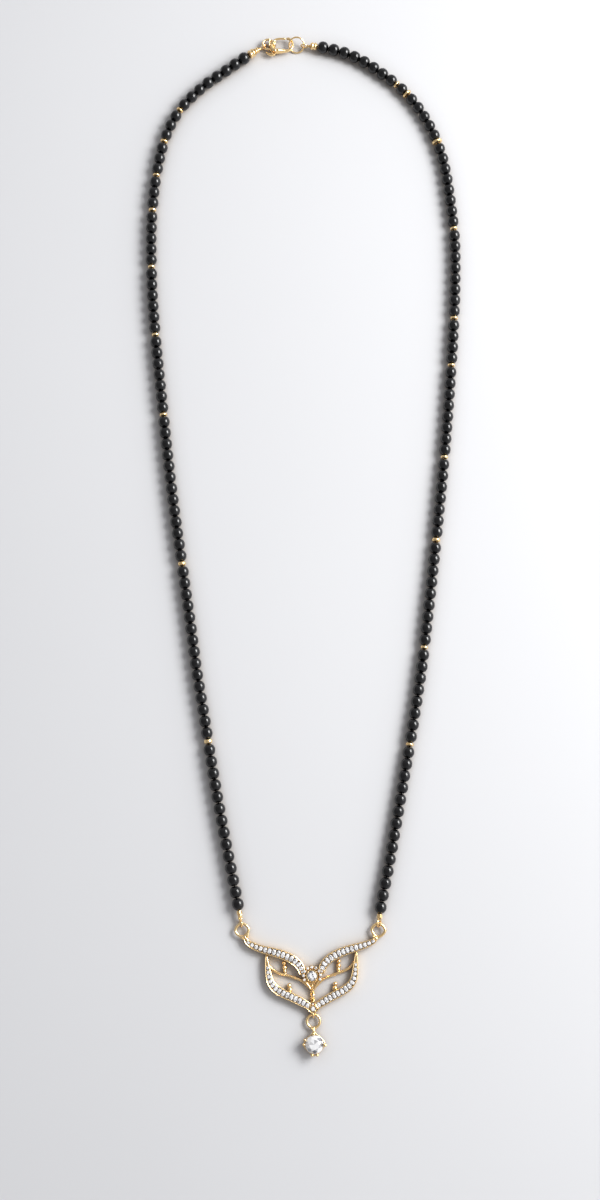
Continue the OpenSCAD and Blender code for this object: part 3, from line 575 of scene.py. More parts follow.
world = bpy.data.worlds.new("studioSky")
bpy.context.scene.world = world
world.use_nodes = True
tree = world.node_tree
direction = node(tree, "ShaderNodeTexCoord").outputs["Generated"]
x, y, z = node(tree, "ShaderNodeSeparateXYZ", {0: direction}).outputs
side = math(tree, "MULTIPLY_ADD", x, look["skyTowards"][0], math(tree, "MULTIPLY", y, look["skyTowards"][1]))
side = spread(tree, side, -look["skySpread"], look["skySpread"], look["skyLeft"], look["skyRight"])
bright = math(tree, "MULTIPLY", side, spread(tree, z, *look["skyRing"], 1.0, look["skyTop"]))
sky = tree.nodes["Background"].inputs
tree.links.new(mixed(tree, bright, (0, 0, 0, 1), look["skyTone"]), sky["Color"])
sky["Strength"].default_value = studio["sky"]
print("camera, light, floor and materials ready")


# Strings of beads

strings = {
    "beadWidth": 3.1, "beadLength": 2.92, "endBeadWidth": 3.4, "endRun": 26.0, "leastGap": 0.14,
    "holeWidth": 0.8, "beadGrowth": 0.09,      # the beads nearly touch, as on a tight string
    "spacerWidth": 2.1, "spacerLength": 0.8,
    "threadWidth": 0.42, "threadPly": 1.3, "threadInset": 0.8, "plyRound": 0.78,
    "lengthSpread": 0.02, "widthSpread": 0.025,     # shares by which single beads are smaller
}
routes = {
    "left": [
        [-15.8, -78.7], [-18.2, -67], [-20.6, -55], [-22.8, -43], [-24.8, -31], [-26.8, -19.5], [-28.6, -7],
        [-30.5, 5.5], [-32.4, 18], [-34.2, 30.5], [-35.8, 43.5], [-37.3, 56.5], [-38.7, 69], [-39.9, 82],
        [-40.5, 94.5], [-40.5, 106], [-39.5, 118], [-37.2, 129], [-33.3, 137.3], [-27, 144.2],
        [-21, 148.7], [-15.9, 152.5],
    ],
    "right": [
        [20.5, -79.7], [23, -67.5], [25.4, -54.5], [27.7, -42], [29.9, -29.5], [31.9, -17], [33.5, -4.5],
        [35.1, 8.5], [36.6, 21.5], [38, 34], [39.3, 47], [40.4, 60], [41.4, 73], [42.1, 86], [42.2, 99],
        [41.1, 111.5], [39.2, 123.5], [35.2, 134], [29.5, 142.3], [22.2, 148.7], [14.8, 153.4], [7.3, 155.8],
    ],
}
spacersOn = {   # beads below each spacer, and shares of the plain spacer's length and width
    "left": [
        [14, 1.5, 1.05], [29, 1.4, 1], [42, 1, 1], [49, 1, 0.95], [55, 1, 0.9], [60, 1.1, 1], [63, 0.9, 0.95],
        [66, 1, 1], [69, 1, 0.95],
    ],
    "right": [
        [14, 1.1, 1], [22, 1, 0.95], [31, 1.3, 1.05], [38, 1, 0.95], [46, 0.9, 0.95], [50, 1, 1],
        [58, 1, 0.95], [66, 1.1, 1.4], [71, 1, 1.3], [72, 0.8, 1],
    ],
}
endPieces = {   # start from the end loop's middle, length and width of each gold piece
    "first": {"left": [[1.3, 1.9, 1.4]], "right": [[1.2, 1.1, 1.4]]},
    "last": {"left": [[1.5, 1.5, 1.7], [2.85, 2, 2.4]], "right": [[1.7, 1.9, 2.1]]},
}
clasp = {
    "tailAt": (-8.9, 157.1), "tailWidth": 3.5, "tailWire": 0.6, "reach": 5.4, "halfWidth": 1.85,
    "spine": 1.1, "bowl": 0.6, "tall": 2.2, "z": 1.38, "pin": 0.5, "pinGap": 0.05, "boss": 0.73,
    "leverTall": 0.5, "slotGap": 0.1, "gate": 0.55, "noseBack": 1.3, "tabTall": 0.8, "hub": 0.28,
    "jumpWidth": 4.6, "jumpWire": 0.45, "jumpTilt": 33.0, "jumpSlack": 0.4, "jumpArc": (200.0, 358.6),
}
loops = {
    "width": 2.2, "wire": 0.4, "roll": {"left": 15.0, "right": -30.0}, "slack": 0.1,
    "coilTurns": 2.2, "coilRadius": 0.3, "coilWire": 0.2, "collar": 0.34,
    "pairWire": 0.5, "pairSlim": 0.76, "pairTurns": 0.7,
}
eyelets = {
    "width": 4.0, "wire": 0.7, "z": 1.12, "power": 1.62, "swell": 1.02, "neckEnd": 0.9, "cheekTurn": 0.95,
}

tailRadius = (clasp["tailWidth"] - clasp["tailWire"]) / 2
pivotAt = np.array([clasp["tailAt"][0] + tailRadius - 0.05, clasp["tailAt"][1] - 0.1])
jumpRadius = (clasp["jumpWidth"] - clasp["jumpWire"]) / 2
bowlX = pivotAt[0] + clasp["reach"]
jumpX = bowlX - clasp["bowl"] / 2 - clasp["jumpSlack"] - clasp["jumpWire"] / 2 + jumpRadius
jumpAt = np.array([jumpX, clasp["tailAt"][1] - 0.2])
eyeletRadius = (eyelets["width"] - eyelets["wire"]) / 2
loopRadius = (loops["width"] - loops["wire"]) / 2
sideOf = {"left": -1, "right": 1}


def eyeletShift(side, share):
    # The eyelets are bent apart by a share that only their ends feel
    return -side * pendant["eyeletBend"] * share**6


def eyeletAt(side):
    # Middle of an eyelet, from the pendant's centre
    return side * pendant["eyeletReach"], pendant["eyeletRise"] + eyeletShift(side, 1)


def pulled(start, towards, distance):
    # The point at a distance from the start, towards another
    return start + distance * unit(np.asarray(towards, float) - start)


def planString(which):
    # Beads fill the run between the end pieces with one even gap, each spacer after its number of beads
    route, rows = routes[which], np.array(spacersOn[which], float)
    holder, radius = (clasp["tailAt"], tailRadius) if which == "left" else (jumpAt, jumpRadius)
    start = pulled(onSurface(*eyeletAt(sideOf[which])), route[0], eyeletRadius + loops["slack"])
    end = pulled(np.array(holder), route[-1], radius + loops["slack"])
    walk = walkOf(smoothed([start, *route, end], 8))
    first, final = (endPieces[part][which][-1] for part in ("first", "last"))
    lead = first[0] + first[1]
    run = walk[0][-1] - lead - final[0] - final[1]
    golds = rows[:, 1] * strings["spacerLength"]
    each, least = strings["beadLength"], strings["leastGap"]
    count = int((run - golds.sum() - (len(rows) + 1) * least) // (each + least))
    gap = (run - golds.sum() - count * each) / (count + len(rows) + 1)
    beads = np.arange(count)
    passed = (rows[None, :, 0] <= beads[:, None]) @ (golds + gap)
    earlier = (rows[None, :, 0] < rows[:, None, 0]) @ (golds + gap)
    beadS = lead + gap + beads * (each + gap) + passed + each / 2
    spacerS = lead + gap + rows[:, 0] * (each + gap) + earlier + golds / 2
    return {"walk": walk, "beads": beadS, "spacers": spacerS, "rows": rows}


def beadSize(walk, s):
    # Even growth to the larger beads over the run next to the clasp
    growth = np.clip(1.2 - (walk[0][-1] - s) / strings["endRun"], 0, 1)
    return strings["beadWidth"] + (strings["endBeadWidth"] - strings["beadWidth"]) * growth


def onString(walk, s):
    # The string's middle line, half a bead above the surface
    return np.column_stack([pointAt(walk, s)[:, :2], beadSize(walk, s) / 2])


def threaded(walk, s, along, across):
    # Turns that lay a shape's Z along the string and scale it, with their places on the surface
    angle = headingAt(walk, s)
    size = np.stack([across, across, along], -1)[:, None, :]
    spin = chance.uniform(0, 2 * np.pi, len(s))
    ahead = np.broadcast_to([0.0, 0.0, 1.0], (len(s), 3))
    roll = np.stack([circled(spin), circled(spin + np.pi / 2), ahead], -1)
    return facing(circled(angle)) @ roll * size, onString(walk, s)


def drilledBead(rows=9, sides=18):
    # Outside (-cos f, sin^0.85 f) between the holes, a lip turned in, and back through the hole
    hole = strings["holeWidth"] / strings["beadWidth"]
    f = np.linspace(np.arcsin(hole * 1.12), np.pi - np.arcsin(hole * 1.12), rows)
    outside = np.stack([-np.cos(f) / np.cos(f[0]), np.sin(f)**0.85], -1)
    lip = np.array([[1.0, hole * 1.08], [0.95, hole * 0.98], [-0.95, hole * 0.98], [-1.0, hole * 1.08]])
    return turned(np.vstack([outside, lip]) * [0.5, 0.5], sides, loop=True)


def spacerShape(sides=24):
    # A disc with a full round edge, a small step round its hole
    rows = [[-0.5, 0.24], [-0.5, 0.33], [-0.44, 0.36], [-0.4, 0.43], [-0.22, 0.485], [0, 0.5],
            [0.22, 0.485], [0.4, 0.43], [0.44, 0.36], [0.5, 0.33], [0.5, 0.24], [0.44, 0.2], [-0.44, 0.2]]
    return turned(rows, sides, loop=True)


def makeBeads(kind, which, shape, walk, s, along, across, material, sharp):
    # Copies of the shape along the string, each with its own tone
    part = settled(placed(shape, *threaded(walk, s, along, across)))
    tones = np.repeat(chance.random(len(s)), len(shape[0]))
    makePiece(kind + which.title(), [part], material, [kind + "_" + which], sharp, tones)


def makeString(which):
    # Beads, spacers and thread of one side
    plan = planString(which)
    walk, s, rows = plan["walk"], plan["beads"], plan["rows"]
    length = strings["beadLength"] + strings["beadGrowth"]
    along = length * (1 - strings["lengthSpread"] * chance.random(len(s)))
    across = beadSize(walk, s) * (1 - strings["widthSpread"] * chance.random(len(s)))
    makeBeads("beads", which, drilledBead(), walk, s, along, across, blackGlass, 60)
    along, across = rows[:, 1] * strings["spacerLength"], rows[:, 2] * strings["spacerWidth"]
    makeBeads("spacers", which, spacerShape(), walk, plan["spacers"], along, across, gold, 50)
    makeThread(which, walk)
    return walk


def makeThread(which, walk, step=0.16, sides=8):
    # Two round plies: radius * (r + (1 - r) * cos 2(t - turn)), the turn growing evenly along the string
    start = endPieces["first"][which][0][0] + strings["threadInset"]
    end = walk[0][-1] - endPieces["last"][which][0][0] - strings["threadInset"]
    s = np.linspace(start, end, int((end - start) / step))
    turn = 2 * np.pi * s[:, None] / strings["threadPly"]
    angle = around(sides)
    plain = strings["plyRound"]
    radius = strings["threadWidth"] / 2 * (plain + (1 - plain) * np.cos(2 * (angle - turn)))
    thread = settled(carried(onString(walk, s), circled(angle, radius)[..., :2]))
    makePiece("thread" + which.title(), [thread], blackThread, ["thread_" + which], 80)


walks = {which: makeString(which) for which in sideOf}
print("strings made")


# Cut stones

stones = {   # shares of the width, then widths and places in millimetres
    "table": 0.56, "crown": 0.15, "girdle": 0.02, "pavilion": 0.43,
    "centre": 2.4, "tip": 1.3, "drop": 4.6, "length": 0.98, "pitch": 1.12, "gap": 0.05, "rim": 0.26,
    "smallCrown": 0.3, "smallGirdle": 0.07, "smallPavilion": 0.45, "smallTable": 0.62,
    "cushionTable": 0.6, "cushionPower": 3.4, "smallBelow": 0.22, "lift": 0.035, "centreAbove": 0.05,
}


def brilliant(crown, girdle, pavilion, table=stones["table"], power=2.0):
    # Rings of 8, 8, 16, 16 and 8 points of a stone 1 wide, |x|^power + |y|^power being even round each ring
    def circle(count, first, radius, z):     # one ring of points
        a = around(count, first)
        return circled(a, radius * cornered(a, power), z)
    cos8 = np.cos(np.pi / 8)
    starZ = crown * (0.5 - 0.39 * cos8) / (0.5 - table / 2)
    lowZ = -pavilion * (1 - 0.3 * cos8) - girdle
    points = np.vstack([
        circle(8, 0, table / 2, crown), circle(8, 22.5, 0.39, starZ), circle(16, 0, 0.5, 0),
        circle(16, 0, 0.5, -girdle), circle(8, 22.5, 0.15, lowZ), [[0, 0, crown], [0, 0, -pavilion - girdle]],
    ])
    i, k = np.arange(8), np.arange(16)
    after, before, none = (i + 1) % 8, (i + 7) % 8, i * 0 - 1
    sixteen = (2 * i + 2) % 16
    facets = [
        [i * 0 + 56, i, after, none], [i, 8 + i, after, none], [i, 8 + before, 16 + 2 * i, 8 + i],
        [8 + i, 16 + 2 * i, 17 + 2 * i, none], [8 + i, 17 + 2 * i, 16 + sixteen, none],
        [32 + 2 * i, 48 + i, 33 + 2 * i, none], [33 + 2 * i, 48 + i, 32 + sixteen, none],
        [32 + 2 * i, 48 + before, 57 + 0 * i, 48 + i],
    ]
    belt = np.stack([16 + k, 32 + k, 32 + (k + 1) % 16, 16 + (k + 1) % 16], -1)
    return outward(points, np.vstack([np.stack(f, -1) for f in facets] + [belt]))


plainStone = brilliant(stones["crown"], stones["girdle"], stones["pavilion"])
smallCut = [stones["small" + part] for part in ("Crown", "Girdle", "Pavilion")]
smallStone = brilliant(*smallCut, stones["smallTable"])
cushionStone = brilliant(*smallCut, stones["cushionTable"], stones["cushionPower"])


def makeStones(name, part, replaced):
    # Every facet stays sharp
    makePiece(name, [onPendant(part)], clearStone, replaced, 1.0)


def bigStone(name, width, y, z, replaced):
    # One brilliant on the pendant's middle line
    makeStones(name, placed(plainStone, np.eye(3) * width, [[0, y, z]]), [replaced])


# Pendant frame

arms = {
    "upperWidth": 2.3, "lowerWidth": 2.2, "floor": 1.25, "wall": 0.3, "scoop": 0.22, "seat": 0.45,
    "upperEnds": (0.5, 0.55), "lowerStart": 2.1, "tipLap": 0.3, "tipStop": 0.95, "endBulge": 0.35,
    "grain": 0.15, "veinWidth": 0.65, "veinTall": 0.8, "veinZ": 0.75,
    "upper": [   # sideways share, height share and width share from eyelet to centre
        [0.955, 0.815, 0.42], [0.92, 0.745, 0.6], [0.835, 0.675, 0.76], [0.73, 0.617, 0.84],
        [0.613, 0.569, 0.92], [0.497, 0.52, 0.98], [0.387, 0.458, 1], [0.286, 0.379, 1], [0.205, 0.277, 0.95],
        [0.157, 0.167, 0.85], [0.142, 0.062, 0.7],
    ],
    "lower": [   # shares of the wing's reach, the tip's drop and the arm's width
        [1.005, 0.62, 0.3], [0.995, 0.43, 0.48], [0.975, 0.16, 0.7], [0.935, -0.125, 0.84],
        [0.835, -0.335, 0.95], [0.665, -0.495, 1], [0.46, -0.63, 1], [0.262, -0.775, 0.97],
        [0.115, -0.895, 0.85], [0.03, -0.97, 0.7],
    ],
    "vein": [
        [1.01, 0.7], [0.982, 0.44], [0.885, 0.25], [0.743, 0.125], [0.566, 0.047], [0.398, -0.035],
        [0.245, -0.125], [0.128, -0.265], [0.01, -0.42],
    ],
}
pips = {   # both ends as shares, then start, radius and stretch of each swelling between them
    "upper": [
        [0.612, 0.415], [0.594, 0.075], [[0, 0.52, 1], [1.09, 0.6, 1], [2.0, 0.45, 1.4], [2.7, 0.34, 0.8]],
    ],
    "lower": [[0.515, -0.27], [0.492, -0.52], [[0, 0.54, 1], [1.08, 0.63, 1.15], [2.0, 0.44, 0.9]]],
    "neck": 0.24,
}
centre = {
    "cup": 1.56, "halo": 2.1, "tall": 1.45, "lobe": 0.85, "lobes": 9, "firstLobe": -25.0, "claw": 0.42,
    "lobeRise": 0.2, "armCup": 0.4, "armCupIn": 0.33, "tipCup": 0.34, "tipCupUp": 0.86, "grain": 0.12,
    "webShares": (0.92, 0.4), "webFoot": (0.34, 0.25), "webDown": 0.4, "webEdge": (0.62, 0.9),
    "stemTop": -0.39 * pendant["tipDrop"], "stem": 0.8, "strand": 0.72, "strandOut": 0.37, "stemTurns": 1.5,
    "tip": 0.96, "tipGrain": 0.16, "rimBelow": 1.12, "rimUp": 0.79,
    "rimBacks": ((1.7, 1.4, 1.1), (1.9, 1.5, 1.15)),
}
upperChannel = arms["upperEnds"]              # solid metal before and after the stones
lowerChannel = (arms["lowerStart"], centre["tip"] - arms["tipLap"])
tall = pendant["height"]
girdleZ = tall - stones["smallBelow"]


def upperArm(side):
    # Centre line from the eyelet to the centre, with the arm's width
    rows = np.array(arms["upper"])
    x = side * rows[:, 0] * pendant["eyeletReach"]
    y = rows[:, 1] * pendant["eyeletRise"] + eyeletShift(side, rows[:, 0])
    return walkOf(smoothed(np.stack([x, y, rows[:, 2] * arms["upperWidth"]], -1), 8))


def lowerArm(side):
    # The same from the wing's outer end to the tip
    rows = np.array(arms["lower"]) * [side * pendant["wingReach"], pendant["tipDrop"], arms["lowerWidth"]]
    return walkOf(smoothed(rows, 8))


def stoneRows(walk, channel):
    # Even places along the channel, with the length and width of each stone
    run = walk[0][-1] - sum(channel) - 2 * stones["gap"]
    count = int(run // stones["pitch"])
    s = channel[0] + stones["gap"] + run * (np.arange(count) + 0.5) / count
    across = pointAt(walk, s)[:, 2] - 2 * (stones["rim"] + stones["gap"])
    return s, np.minimum(stones["length"], 1.2 * across), across, run / count


def acrossArm(walk, s, v, z):
    # Centre line at s, moved v across it
    at, a = pointAt(walk, s), headingAt(walk, s)
    return np.stack([at[..., 0] - v * np.sin(a), at[..., 1] + v * np.cos(a), z + 0 * v], -1)


def seatPlates(walk, s, across, pitch):
    # Each seat: rings from its round hole out to the cell's border, scooped up towards the border
    t = around(16, 11.25)
    square = np.maximum(np.abs(np.cos(t)), np.abs(np.sin(t)))
    share = np.array([1.0, 0.55, 0.0, 0.0, 1.0])[None, :, None]
    top = arms["floor"] + arms["scoop"] * np.array([1.0, 0.3, 0.0])
    z = np.array([*top, 0.0, 0.0])[None, :, None]
    hole = (arms["seat"] * across / 2 + stones["gap"])[:, None, None]
    half = (pointAt(walk, s)[:, 2] / 2 - arms["wall"] / 2)[:, None, None]
    u = (1 - share) * hole * np.cos(t) + share * pitch * 0.51 * np.cos(t) / square
    v = (1 - share) * hole * np.sin(t) + share * half * np.sin(t) / square
    grids = acrossArm(walk, s[:, None, None] + u, v, np.broadcast_to(z, u.shape))
    return [shell(grid, loop=True) for grid in grids]


def channelWall(walk, start, end, bulge):
    # Both sides at half the width, joined round each end by half an ellipse
    s = np.linspace(start, end, 70)
    at, a = pointAt(walk, s), headingAt(walk, s)
    half = (at[:, 2:] - arms["wall"]) / 2
    along = circled(a)[:, :2]
    normal = along[:, ::-1] * [-1, 1]
    t = np.linspace(0, np.pi, 9)[1:-1, None]
    far = at[-1, :2] + half[-1] * (np.cos(t) * normal[-1] + bulge * np.sin(t) * along[-1])
    near = at[0, :2] - half[0] * (np.cos(t) * normal[0] + bulge * np.sin(t) * along[0])
    line = np.vstack([at[:, :2] + half * normal, far, (at[:, :2] - half * normal)[::-1], near])
    path = np.column_stack([line, np.full(len(line), tall / 2)])
    return carried(path, oval(arms["wall"], tall, 18, 3.2), loop=True)


def armParts(walk, channel, stop):
    # Wall, seats, solid ends and the grains that hold the stones in pairs
    s, _, across, pitch = stoneRows(walk, channel)
    total = walk[0][-1]
    parts = [channelWall(walk, 0, total - stop, arms["endBulge"])] + seatPlates(walk, s, across, pitch)
    for start, end in ((0, channel[0] + 0.1), (total - channel[1] - 0.1, total - stop)):
        if end - start > 0.3:
            rows = pointAt(walk, np.linspace(start, end, 8)) - [0, 0, arms["wall"] * 0.6]
            parts.append(bar(rows, tall - 0.12, tall / 2 - 0.06, 10, 12, 5, 0))
    edge = np.concatenate([s - pitch / 2, s[-1:] + pitch / 2])
    half = pointAt(walk, edge)[:, 2] / 2 - stones["rim"] - 0.06
    places = np.vstack([acrossArm(walk, edge, side * half, tall - 0.14) for side in (-1, 1)])
    parts.append(grains(places, arms["grain"], 1.1))
    inner = np.vstack([acrossArm(walk, edge, side * half * 0.36, tall - 0.24) for side in (-1, 1)])
    parts.append(grains(inner, arms["grain"] * 0.62, 1.3, 4, 8))
    return parts


def armStones(side):
    # Places along both channels, with turns whose columns are the stone's length, width and height
    places, turns = [], []
    for walk, channel in ((upperArm(side), upperChannel), (lowerArm(side), lowerChannel)):
        s, length, across, _ = stoneRows(walk, channel)
        a = headingAt(walk, s) + chance.normal(0, 0.03, len(s))
        places.append(acrossArm(walk, s, 0 * a, girdleZ + stones["lift"]))
        x = circled(a, length, chance.normal(0, 0.02, len(s)))
        y = circled(a + np.pi / 2, across, chance.normal(0, 0.02, len(s)))
        turns.append(np.stack([x, y, circled(a, 0, 1)], -1))
    return np.vstack(places), np.concatenate(turns)


def pipParts(side, pip):
    # Turned, as wide at h as the widest swelling radius * sqrt(1 - ((h - start) / (radius * stretch))^2)
    scale = np.array([side * pendant["wingReach"], pendant["tipDrop"]])
    top, foot = (np.append(scale * end, arms["veinZ"]) for end in pip[:2])
    start, radius, stretch = np.array(pip[2]).T[:, :, None]
    length = np.linalg.norm(foot - top)
    h = np.linspace(-radius[0, 0], length, 46)
    swell = radius * np.sqrt(np.clip(1 - ((h - start) / (radius * stretch))**2, 0, 1))
    outline = np.maximum(swell.max(0), pips["neck"] * np.clip((h - h[0]) * 8, 0.15, 1))
    shape = turned(np.stack([h, outline], -1), 24)
    return [placed(shape, facing([foot - top]), [top])]


def twistedStem():
    # Two wires wound about the line down to the tip, half a turn apart
    top, foot = centre["stemTop"] + 0.35, -pendant["tipDrop"] + centre["tip"] * 0.75
    line = between([0, top, arms["veinZ"]], [0, foot, arms["veinZ"]], 48)
    out = centre["stem"] * centre["strandOut"]
    return [wire(wound(line, out, centre["stemTurns"], first, (0, 2, 1)), centre["stem"] * centre["strand"])
            for first in (0, np.pi)]


def bezel(outer, inner, hole, floor, high):
    # A cup: rounded rim, a step for the girdle, a slope to the open hole
    rows = [
        [0, hole], [0, outer - 0.06], [0.06, outer], [high - 0.16, outer],
        [high - 0.05, outer - 0.04], [high, outer - 0.1], [high - 0.01, inner + 0.05], [high - 0.08, inner],
        [floor + 0.25, inner], [floor, inner * 0.8], [floor - 0.2, hole],
    ]
    return turned(rows, 48, loop=True)


def collet(radius, high):
    # A small cup: wall, rounded rim and a hollow for its stone
    rows = [[0, radius * 0.92], [0.1, radius], [high - 0.12, radius], [high - 0.03, radius - 0.03],
            [high, radius - 0.08], [high - 0.05, radius - 0.12], [high - 0.3, radius * 0.4]]
    return turned(rows, 24)


def colletPlaces():
    # On the halo's lobes, at the inner ends of the upper arms and above the tip: x, y, radius and height.
    # A lobe beside an arm's end stands above its rim
    a = np.radians(np.linspace(centre["firstLobe"], 180 - centre["firstLobe"], centre["lobes"]))
    spots = circled(a, centre["halo"] + 0.05)[:, :2]
    ends = [pointAt(walk, walk[0][-1] - centre["armCupIn"])[:2] for walk in (upperArm(-1), upperArm(1))]
    beside = np.linalg.norm(spots[:, None] - np.array(ends), axis=-1).min(1) < 1.1
    high = np.where(beside, tall + 0.06, centre["tall"] + centre["lobeRise"])
    return np.vstack([
        np.column_stack([spots, np.full(len(a), centre["lobe"] / 2 + 0.06), high]),
        *([*end, centre["armCup"], tall] for end in ends),
        [0, -centre["tipCupUp"] * pendant["tipDrop"], centre["tipCup"], tall - 0.05],
    ])


def webParts():
    # A plate under the cup that narrows to the stem, with a bar along each edge and a diamond between them
    wide, down = np.array(centre["webShares"]) * centre["halo"]
    narrow, foot = centre["webFoot"][0], centre["stemTop"] - centre["webFoot"][1]
    high = centre["tall"] - centre["webDown"]
    corners = np.array([[wide, -down], [narrow, foot], [-narrow, foot], [-wide, -down]])
    right, left, across = (between(corners[i], corners[k], 8) for i, k in ((0, 1), (2, 3), (3, 0)))
    width, height = centre["webEdge"]
    edges = [bar(np.column_stack([line, np.full(8, width)]), height, high - 0.02, 24, 16, 2.2)
             for line in (right, left)]
    tips = np.array([[0, 0.5], [0.36, 0], [0, -0.5], [-0.36, 0]])
    sides = [between(tip, after, 4)[:-1] for tip, after in zip(tips, np.roll(tips, -1, 0))]
    studs = np.column_stack([tips * 0.8, np.full(4, 0.2)])
    diamondAt = [0, 0.84 * centre["stemTop"], high]
    return [
        pad(np.vstack([right, left[:-1], across[:-1]]), 0, high, 0.1), *edges,
        moved(pad(np.vstack(sides), 0, 0.28, 0.12), diamondAt),
        moved(grains(studs, centre["grain"]), diamondAt),
    ]


def centreParts():
    # The halo's plate, the cup with its milgrain and claws, the small cups, web and stem
    halo, cup, high = centre["halo"], centre["cup"], centre["tall"]
    top = tall + stones["centreAbove"]
    hole = (arms["seat"] * stones["centre"] + 2 * stones["gap"]) / 2
    plate = [
        [0, hole], [0, halo - 0.06], [0.06, halo], [high - 0.3, halo], [high - 0.16, halo - 0.07],
        [high - 0.1, halo - 0.2], [high - 0.2, cup + 0.02], [0.4, cup - 0.1], [0.4, hole],
    ]
    corners = around(4, 45)
    feet, tips = circled(corners, cup - 0.08, 0.9), circled(corners, cup - 0.16, top + 0.2)
    return [
        turned(plate, 64, loop=True), bezel(cup, stones["centre"] / 2 + 0.06, hole, 0.85, top + 0.1),
        *(moved(collet(radius, rim), [x, y, 0]) for x, y, radius, rim in colletPlaces()),
        grains(circled(around(36), cup + 0.1, high - 0.06), centre["grain"]),
        *(rod(f, t, centre["claw"] * 1.05, centre["claw"] * 0.85) for f, t in zip(feet, tips)),
        grains(tips, centre["claw"] * 0.56, 0.9, 9, 14), *webParts(), *twistedStem(),
    ]


def pointedRim(outer, apex, backs):
    # A wall from one arm's edge through the apex to the other arm's
    edges = []
    for side in (-1, 1):
        walk = lowerArm(side)
        s = walk[0][-1] - np.array(backs)
        half = pointAt(walk, s)[:, 2] / 2 - arms["wall"] / 2
        edges.append(acrossArm(walk, s, side * outer * half, 0)[:, :2])
    line = np.vstack([edges[0], [apex], edges[1][::-1]])
    line = np.column_stack([line, np.full(len(line), arms["wall"])])
    return bar(smoothed(line, 8), tall - 0.02, tall / 2 - 0.01, 60, 14, 4.5, 0)


def tipParts():
    # The tip's cup with its grains, the drop's loop, a plate between the arms and the two pointed rims
    tipY, (outerBacks, innerBacks) = -pendant["tipDrop"], centre["rimBacks"]
    low, high = tipY - centre["rimBelow"], tipY * centre["rimUp"]
    cup = bezel(centre["tip"], stones["tip"] / 2 + 0.04, 0.34, 1.25, tall)
    beads = circled(around(4, 45), stones["tip"] / 2 + 0.06, tall - 0.02)
    fill = [[0.7, low + 0.6], [1.35, tipY + 0.1], [1.0, high - 0.5], [0, high]]
    fill = [[0, low + 0.1], *fill, *([-x, y] for x, y in fill[-2::-1])]
    return [
        moved(cup, [0, tipY, 0]), moved(grains(beads, centre["tipGrain"]), [0, tipY, 0]),
        ring([0, bail["y"], bail["z"]], bail["radius"], bail["wire"], (1, 0, 0), 48, 14),
        pad(fill, 0, arms["floor"] + 0.1, 0.1), pointedRim(1, (0, low), outerBacks),
        pointedRim(-1, (0, high), innerBacks),
    ]


def eyeletParts(side):
    # Ring at radius * cornered(angle) with a corner towards the string, and a neck with two cheeks to the arm
    at = np.array([*eyeletAt(side), eyelets["z"]])
    t = around(72)
    radius = cornered(t, eyelets["power"]) * eyeletRadius * eyelets["swell"]
    loop = at + circled(t + np.pi / 2 - side * 0.1, radius)
    inner = np.array([*upperArm(side)[1][5, :2], eyelets["z"]])
    way, size, turn = angleTo(at, inner), eyelets["wire"], eyelets["cheekTurn"]
    neck = rod(pulled(at, inner, eyeletRadius), inner, size * 0.95, eyelets["neckEnd"], 16)
    cheeks = [rod(at + circled(way + bent, eyeletRadius), inner, size * 0.72, size * 0.9, 14)
              for bent in (-turn, turn)]
    return [wire(loop, size, 16, loop=True), neck, *cheeks]


drop = {
    "ring": 3.9, "ringWire": 0.65, "neck": 1.35, "prong": 0.5, "bail": 0.4,
    "gallery": 0.42, "galleryDown": 1.1, "galleryPower": 1.25, "base": 0.26, "baseWire": 1.15,
    "neckWide": 1.25, "neckWaist": 0.4, "cheekTurn": 0.8, "footOut": 0.9,
    "prongs": [   # angle in degrees, shares of the prong's width and of its ball
        [92, 1, 1.5], [178, 0.8, 1.2], [152, 0.8, 1.2], [256, 0.8, 1.3], [284, 0.8, 1.3], [356, 1, 1.7],
    ],
}
bail = {"wire": drop["bail"], "radius": drop["ringWire"] / 2 + 0.2 + drop["bail"] / 2}
bail["z"] = bail["radius"] + bail["wire"] / 2
bail["y"] = -pendant["tipDrop"] - centre["tip"] - 0.15 - drop["ringWire"] / 2
dropRingRadius = (drop["ring"] - drop["ringWire"]) / 2
dropRingY = bail["y"] - dropRingRadius
dropY = dropRingY - drop["ring"] / 2 - drop["neck"] - stones["drop"] / 2
dropZ = 0.43 * stones["drop"] + 0.4


def veinParts(side):
    # One bar from the wing's corner to the stem
    rows = np.array([[*point, arms["veinWidth"]] for point in arms["vein"]])
    rows *= [side * pendant["wingReach"], pendant["tipDrop"], 1]
    return [bar(smoothed(rows, 6), arms["veinTall"], arms["veinZ"], 60, 16, 2.2)]


frameParts = centreParts() + tipParts()
for side in (-1, 1):
    frameParts += armParts(upperArm(side), upperChannel, 0.0)
    frameParts += armParts(lowerArm(side), lowerChannel, arms["tipStop"])
    frameParts += veinParts(side) + pipParts(side, pips["upper"]) + pipParts(side, pips["lower"])
    frameParts += eyeletParts(side)
makePiece("pendantFrame", [onPendant(p) for p in frameParts], gold, ["frame"])
for which, side in sideOf.items():
    places, turns = armStones(side)
    makeStones("smallStones" + which.title(), placed(cushionStone, turns, places), ["small_stones_" + which])
bigStone("centreStone", stones["centre"], 0, tall + stones["centreAbove"], "centre_stone")
cups = colletPlaces()
turns = 2 * (cups[:, 2, None, None] - 0.09) * np.eye(3)
makeStones("haloStones", placed(smallStone, turns, cups[:, [0, 1, 3]] - [0, 0, 0.06]), [])
tipTurn = np.diag([stones["tip"], stones["tip"], 1.0])
tipPlace = [0, -pendant["tipDrop"], girdleZ + stones["lift"]]
makeStones("tipStone", placed(smallStone, tipTurn, [tipPlace]), ["tip_stone"])
print("pendant made")


# Drop

